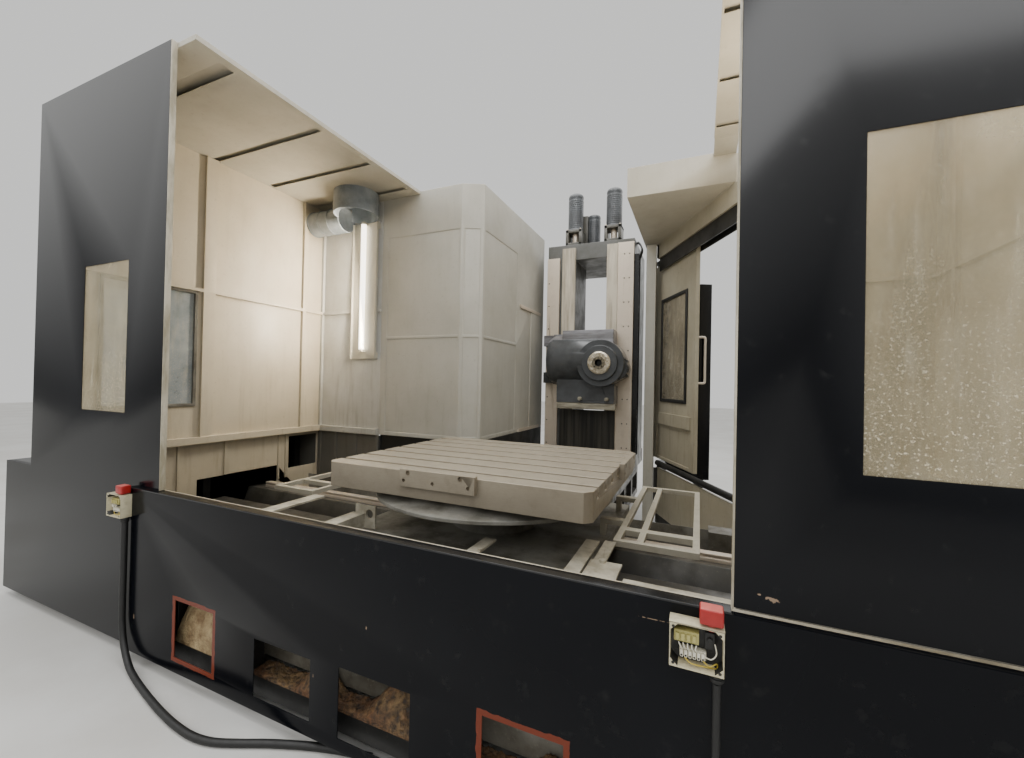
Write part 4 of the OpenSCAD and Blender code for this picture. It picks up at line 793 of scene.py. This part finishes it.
for side, x0 in BOX_X.items():
    bm = bmesh.new()
    open_case(bm, x0)
    outer = [e for e in bm.edges if e.is_manifold and e.calc_face_angle(0) > SHARP]
    bmesh.ops.bevel(bm, geom=outer, offset=CASE_EDGE * MM, segments=2, profile=0.5,
                    affect="EDGES", material=-1)
    # Painted shade: the inside faces take the dark frame paint; the rim is still cream
    for face in bm.faces:
        x, y, z = (face.calc_center_median() - box_point(x0, 0, 0, 0)) / MM
        if 4 < x < BOX[0] - 4 and 1.5 < y < BOX[1] - 2 and 4 < z < BOX[2] - 4:
            face.material_index = 1
    for x in (11, BOX[0] - 11):
        for z in (11, BOX[2] - 11):
            screw(bm, box_point(x0, x, 2.5, z), OUT, 4.2, 3, material=1)
    finish_piece(side + "_switch_box", bm, [box_abs, frame_paint], "cabin",
                 ["switch_boxes"])
print("switch boxes ready")

# %% Inside the boxes
CONTACTS = 4
TERMINALS = 6
TERMINAL_PITCH = 10.5
GLAND = [(0, -26), (15, -26), (19, -20), (19, -13), (17, -12.5), (17, -9), (21, -8.5), (21, -0.4),
         (0, -0.4)]
SHORT_CABLE = [(0, 0), (13, 0), (13, 20), (10.5, 22), (10.5, 460), (0, 460)]
for side, x0 in BOX_X.items():
    bm = bmesh.new()
    box_block(bm, x0, (12, 74), (20, DEEP), (60, 90), 1.5)
    for i in range(CONTACTS):
        box_block(bm, x0, (16 + 14 * i, 25 + 14 * i), (14, 22), (66, 84), 0.8)
    box_block(bm, x0, (26, 92), (26, DEEP), (20, 42), 1, material=1)
    for i in range(TERMINALS):
        x = 28 + TERMINAL_PITCH * i
        box_block(bm, x0, (x, x + 7.5), (17, 27), (22, 40), 0.8, material=1)
        screw(bm, box_point(x0, x + 3.7, 17.5, 27), OUT, 2.4, 1.6, material=2)
    box_block(bm, x0, (88, 112), (26, DEEP), (52, 96), 1.5, material=2)
    rod(bm, box_point(x0, 100, 27, 78), OUT, 7, 8, bevel=1, material=2)
    finish_piece(side + "_box_fittings", bm, [contactor_plastic, nylon, frame_paint], "cabin",
                 ["box_fittings"])
    bm = bmesh.new()
    turned(bm, GLAND, box_point(x0, 118, 28, 0), 24)
    if side == "right":
        turned(bm, SHORT_CABLE, box_point(x0, 118, 28, -491), 24)
        block(bm, (x0 + 98, x0 + 138), (-65, -25.3), (215, 262), 8, 3)
    finish_piece(side + "_box_gland", bm, rubber, "cabin", ["box_fittings"])
    white = [[(32 + TERMINAL_PITCH * i, 20, 40), (30 + 9 * i, 13 - i % 3 * 2, 50 + 2 * (i % 2)),
              (24 + 11 * i, 16, 60)] for i in range(TERMINALS - 1)]
    white.append([(88, 20, 34), (104, 12, 36), (116, 16, 50), (112, 22, 72)])
    yellow = [[(84, 18, 24), (100, 13, 16), (117, 22, 22), (119, 28, 6)],
              [(40, 18, 22), (56, 12, 13), (92, 14, 12), (116, 26, 7)]]
    for name, routes, radius, sheath in (("_white_wires", white, 1.6, nylon),
                                         ("_yellow_wires", yellow, 1.8, yellow_pvc)):
        placed = [[box_point(x0, *point) for point in route] for route in routes]
        wire(side + name, placed, radius, sheath, "cabin")
print("box fittings ready")

# %% [markdown]
# The stop button is a square red head on a short stem. Its top face gets its own pink finish, a
# painted highlight of the light that falls on it from above.

# %% Stop buttons
BUTTON_Z = 876
for side, x0 in BOX_X.items():
    bm = bmesh.new()
    block(bm, (x0 + 74, x0 + 132), (-72, -28), (BUTTON_Z, BUTTON_Z + 42), 5, 3)
    # Painted highlight: the faces that point up get the pink finish
    for face in bm.faces:
        if face.normal.z > 0.9:
            face.material_index = 1
    rod(bm, at(x0 + 103, -50, BUTTON_Z - 18), UP, 11, 19)
    rod(bm, at(x0 + 103, -50, BUTTON_Z - 2.2), UP, 19, 3, bevel=0.8)
    finish_piece(side + "_red_button", bm, [red_abs, red_top_highlight], side + "_button",
                 [side + "_stop_button"])
print("stop buttons ready")

# %% [markdown]
# ## Lifting drives
# Three servo motors stand on the column, two of them in open cages. Each is a ribbed round barrel
# with a domed cap and a round connector whose cable curves back into the open cable duct.

# %% Motors
COLUMN_TOP = 3070
CAGE_TOP = 3256
RIB = 22
# Place, foot height, radius and height of each motor, and whether it stands in a cage
MOTORS = [(-140, 3510, CAGE_TOP, 86, 400, True), (299, 3510, CAGE_TOP, 86, 400, True),
          (30, 3700, COLUMN_TOP, 75, 400, False)]
bm = bmesh.new()
for x, y, z, radius, height, caged in MOTORS:
    outline = [(0, 0), (radius, 0), (radius, 14)]
    h = 20
    while h + RIB < height - 34:
        outline += [(radius - 3, h), (radius, h + 4), (radius, h + RIB - 4), (radius - 3, h + RIB)]
        h += RIB
    outline += [(radius - 2, height - 30), (radius, height - 24), (radius, height - 8)]
    dome = 26 if caged else 16
    outline += [(radius - 6, height + dome * 0.35), (radius - 20, height + dome * 0.8),
                (radius * 0.4, height + dome), (0, height + dome)]
    turned(bm, outline, at(x, y, z), 48)
    rod(bm, at(x, y + radius - 6, z + height * 0.72), (0, 1, 0), 20, 30, bevel=3)
    if caged:
        cage_y = (y - 90, y + 90)
        for sx in (-92, 60):
            block(bm, (x + sx, x + sx + 32), cage_y, (COLUMN_TOP, CAGE_TOP), 4, material=1)
        for plate_z in ((COLUMN_TOP, COLUMN_TOP + 38), (CAGE_TOP - 34, CAGE_TOP)):
            block(bm, (x - 92, x + 92), cage_y, plate_z, 4, material=1)
        rod(bm, at(x, y, COLUMN_TOP + 38), UP, 34, 114, bevel=4, material=2)
        for sx in (-76, 76):
            for sy in (-76, 76):
                screw(bm, at(x + sx, y + sy, CAGE_TOP), UP, 9, 10, material=2)
block(bm, (-160, -30), (3645, 3755), (COLUMN_TOP, 3480), 5, 3, material=1)
finish_piece("lifting_drives", bm, [motor_paint, grey_casting, way_steel], "column",
             ["lift_motors"])
print("motors ready")

# %% Hoses and cables on the column
DUCT_X = 570
hoses = []
for i, (x, y, z, radius, height, caged) in enumerate(MOTORS):
    start = at(x, y + radius + 18, z + height * 0.72)
    lane = 3640 + 30 * i
    down = 3414 + 26 * i
    hoses.append([start, start + Vector((0.02, 0.045, -0.03)), at(x + 60, lane, 3180),
                  at(x + 120, lane, 3092), at(480, lane, 3090), at(560, 3560 + 20 * i, COLUMN_TOP),
                  at(612, down + 16, 2960), at(602, down, 2890), at(DUCT_X + 4, down, 2820)])
wire("drive_cables", hoses, 9, rubber, "column", parts=8)
print("hoses ready")

# %% [markdown]
# ## Way screws, side-door handle and seal
# The guide strips are held by rows of cap screws. The door handle is a bent round bar, which is a
# curve with a bevel rather than three cylinders.

# %% Screws on the guide strips
GUIDE_Y = 3361
GUIDE_Z0 = 826
SCREW_PITCH = 259
bm = bmesh.new()
for x, top in ((-395, 2880), (447, 3010), (499, 3010)):
    for z in range(GUIDE_Z0, top, SCREW_PITCH):
        rod(bm, at(x, GUIDE_Y, z), OUT, 7.6, 4, sides=16, bevel=0.8)
finish_piece("way_screws", bm, frame_paint, "column")

# %% Side door handle
DOOR_CORNER = (1553, 1950)
DOOR_TURN = math.radians(26.9 + 90)
HANDLE_U = 1025
door_u = Vector((math.cos(DOOR_TURN), math.sin(DOOR_TURN), 0))
door_v = Vector((-math.sin(DOOR_TURN), math.cos(DOOR_TURN), 0))


def on_door(u, v, z):
    """A point from u along the slanted side wall, v through it and its height."""
    return at(*DOOR_CORNER, z) + door_u * u * MM + door_v * v * MM


def turn_to_door(bm, verts, u, v):
    """Moves blocks noted from the front corner onto the slanted wall at u and v."""
    place = (Matrix.Translation(on_door(u, v, 0)) @ Matrix.Rotation(DOOR_TURN, 4, "Z")
             @ Matrix.Translation(-at(0, 0, 0)))
    bmesh.ops.transform(bm, matrix=place, verts=verts)


bow = [(-96, 1527), (-150, 1527), (-164, 1531), (-169, 1545), (-169, 1625), (-169, 1735),
       (-169, 1845), (-169, 1925), (-164, 1939), (-150, 1943), (-96, 1943)]
wire("door_bow_handle", [[on_door(HANDLE_U, v, z) for v, z in bow]], 11, way_steel, "side_door",
     parts=3, replaced=["door_handle"])
print("door handle ready")

# %% Side door window
GLASS_U = 1175
GLASS_W = 520
GLASS_Z = (1365, 2375)
GAP = 0.3
SEAL = 34
bm = bmesh.new()
block(bm, (0, GLASS_W - 2 * GAP), (0, 8), (GLASS_Z[0] + GAP, GLASS_Z[1] - GAP), 1)
turn_to_door(bm, bm.verts, GLASS_U + GAP, -68)
finish_piece("door_window_sheet", bm, door_sheet, "side_door", ["door_pane"])
bm = bmesh.new()
seal_w = GLASS_W + 2 * SEAL
seal_z = (GLASS_Z[0] - SEAL, GLASS_Z[1] + SEAL)
for x, z in (((0, SEAL), seal_z), ((seal_w - SEAL, seal_w), seal_z),
             ((SEAL, seal_w - SEAL), (seal_z[0], GLASS_Z[0])),
             ((SEAL, seal_w - SEAL), (GLASS_Z[1], seal_z[1]))):
    block(bm, x, (0, 14), z, 5, 3)
turn_to_door(bm, bm.verts, GLASS_U - SEAL, -60)
finish_piece("door_window_seal", bm, seal_rubber, "side_door", ["door_pane"])
print("door window ready")

# %% [markdown]
# ## Swarf heaps
# A heap is a grid lifted by a few soft peaks, with a small random height at each point. Its sides
# and its base are closed, so that it stays a solid.

# %% Swarf heaps
random.seed(7)
BASE_TOP = 152
TROUGH_TOP = 112
BAY_Y = (30, 125)


def heap(name, x, y, z, peaks, height, cells, finish=swarf):
    """A lumpy pile on a flat base; peaks are (place along x in mm, share of y, share, spread)."""
    bm = bmesh.new()
    bmesh.ops.create_grid(bm, x_segments=cells[0], y_segments=cells[1], size=0.5)
    for vert in bm.verts:
        u, v = vert.co.x + 0.5, vert.co.y + 0.5
        along = x[0] + u * (x[1] - x[0])
        lift = sum(math.exp(-((along - px) / spread) ** 2 - ((v - pv) / 0.7) ** 2) * k
                   for px, pv, k, spread in peaks)
        rim = min(u, 1 - u)
        vert.co = at(along, y[0] + v * (y[1] - y[0]),
                     z + 4 + min(1, rim * 20) * (height * min(lift, 1.2) + random.uniform(0, 13)))
    base = bmesh.ops.extrude_face_region(bm, geom=bm.faces[:])["geom"]
    for vert in (g for g in base if isinstance(g, bmesh.types.BMVert)):
        vert.co.z = z * MM
    finish_piece(name, bm, finish, "cabin", crease=80)


BAYS = {"left": ((-1225, -724), [(-1120, 0.7, 1.3, 120), (-900, 0.7, 1.2, 130)]),
        "middle": ((-656, 396), [(-285, 0.8, 0.62, 70), (150, 0.8, 0.62, 100), (60, 0.7, 0.2, 60)]),
        "right": ((464, 1136), [(760, 0.8, 0.35, 60)])}
for side, (x, peaks) in BAYS.items():
    heap("swarf_in_the_" + side + "_bay", x, BAY_Y, BASE_TOP, peaks, 185, (90, 12),
         pale_swarf if side == "left" else swarf)
TROUGH_PEAKS = [(1500, 0.5, 1.0, 240), (1850, 0.6, 1.3, 160), (2100, 0.5, 0.8, 150)]
heap("swarf_in_the_right_trough", (1000, 2300), (1510, 1690), TROUGH_TOP, TROUGH_PEAKS, 330, (60, 16))
print("swarf ready")

# %% [markdown]
# ## Joint strips
# Sheets that meet are closed with a folded or rubber strip, so no daylight shows between them.
# A pale bead runs along the top of the low panel.

# %% Strips
POST_U = 1694


def strip(name, x, y, z, bevel, finish):
    """One straight strip on the cabin."""
    bm = bmesh.new()
    block(bm, x, y, z, bevel)
    finish_piece(name, bm, finish, "cabin")


# A pale strip fills the seam along the top of the low panel
strip("pale_bead_above_the_low_panel", (1294, 2740), (0.8, 20), (902.3, 905.7), 0.5, pale_sheet)
strip("corner_rubber_strip", (-1604.5, -1590), (1950.5, 1969.4), (160, 963), 2, seal_rubber)
bm = bmesh.new()
for low, high, inner in ((160, 634, -19.5), (2852, 2990, 0.5)):
    block(bm, (0, 24), (0, 12 - inner), (low, high), 2)
    fresh = [v for v in bm.verts if low - 1 < v.co.z / MM < high + 1]
    turn_to_door(bm, fresh, POST_U, inner)
finish_piece("post_rubber_strip", bm, seal_rubber, "cabin")
strip("roof_closing_sheet", (1268, 1421), (1950.6, 2209.4), (3217, 3241), 2, cream_high)
print("strips ready")

# %% [markdown]
# ## Floor and light
# A pale workshop floor and large soft lamps. The background is pale too. Lamps that would draw a
# hard patch on the enamel are left out of its reflections.

# %% Floor
floor_paint, tree, shader, place = new_finish("pale_floor_paint")
fill(tree, shader, {"Roughness": 0.55, "Base Color": layer(
    tree, grain(tree, place, 900, detail=5), "#d9d8d4", "#cfcdc8")})
bm = bmesh.new()
bmesh.ops.create_grid(bm, x_segments=1, y_segments=1, size=30)
mesh = bpy.data.meshes.new("floor")
bm.to_mesh(mesh)
bm.free()
mesh.materials.append(floor_paint)
floor = bpy.data.objects.new("floor", mesh)
bpy.context.collection.objects.link(floor)

# %% World and lamps
world = bpy.data.worlds.new("soft_hall")
bpy.context.scene.world = world
world.use_nodes = True
tree = world.node_tree
HALL_LIGHT = 0.72
SEEN_LIGHT = 0.95
rays = add(tree, "ShaderNodeLightPath").outputs
seen = joined(tree, "MAXIMUM", rays["Is Camera Ray"], rays["Is Transmission Ray"])
# Polished enamel mirrors a hall that is dark at eye level and bright under its roof
up = split(tree, add(tree, "ShaderNodeTexCoord").outputs["Generated"])["Z"]
hall = mapped(tree, up, 0.0, 0.6, 0.22, 2.3)
mirrored = times(tree, rays["Is Glossy Ray"], joined(tree, "SUBTRACT", hall, HALL_LIGHT))
strength = joined(tree, "ADD", scaled(tree, seen, HALL_LIGHT, SEEN_LIGHT), mirrored)
fill(tree, tree.nodes["Background"], {"Color": linear("#f1f1ef"), "Strength": strength})


def soft_lamp(name, place, aim, size, watts, tint="#ffffff", mirrored=True):
    """A rectangular lamp in metres that the camera doesn't see."""
    data = bpy.data.lights.new(name, "AREA")
    data.shape = "RECTANGLE"
    data.size, data.size_y = size
    data.energy = watts
    data.color = linear(tint)[:3]
    lamp = bpy.data.objects.new(name, data)
    lamp.location = place
    lamp.rotation_euler = (Vector(aim) - Vector(place)).to_track_quat("-Z", "Y").to_euler()
    lamp.visible_glossy = mirrored
    lamp.visible_camera = False
    bpy.context.collection.objects.link(lamp)


soft_lamp("hall_roof", (0, -1.0, 7.5), (0, -0.5, 0), (8, 6), 550)
soft_lamp("front_left", (-5, -8, 4.5), (0, -1, 1.5), (5, 3), 170, mirrored=False)
soft_lamp("front_right_high", (3.0, -7.5, 5.5), (0, -0.5, 1.2), (4, 2), 110)
soft_lamp("rear_right", (5, 5, 5), (0, 0, 1.5), (4, 3), 60)
soft_lamp("strip_lamp", at(-1740, 1800, 2388), at(-2366, 1250, 2300), (0.08, 1.2), 29, "#fff0d8")
soft_lamp("hall_tubes", (-0.5, -4.5, 6), (0, 0, 1.8), (5, 0.25), 60)
soft_lamp("right_zone_glow", at(1760, 1000, 2300), at(1500, 1000, 3200), (0.7, 0.7), 26, "#fff0d8",
          mirrored=False)
print("light ready")
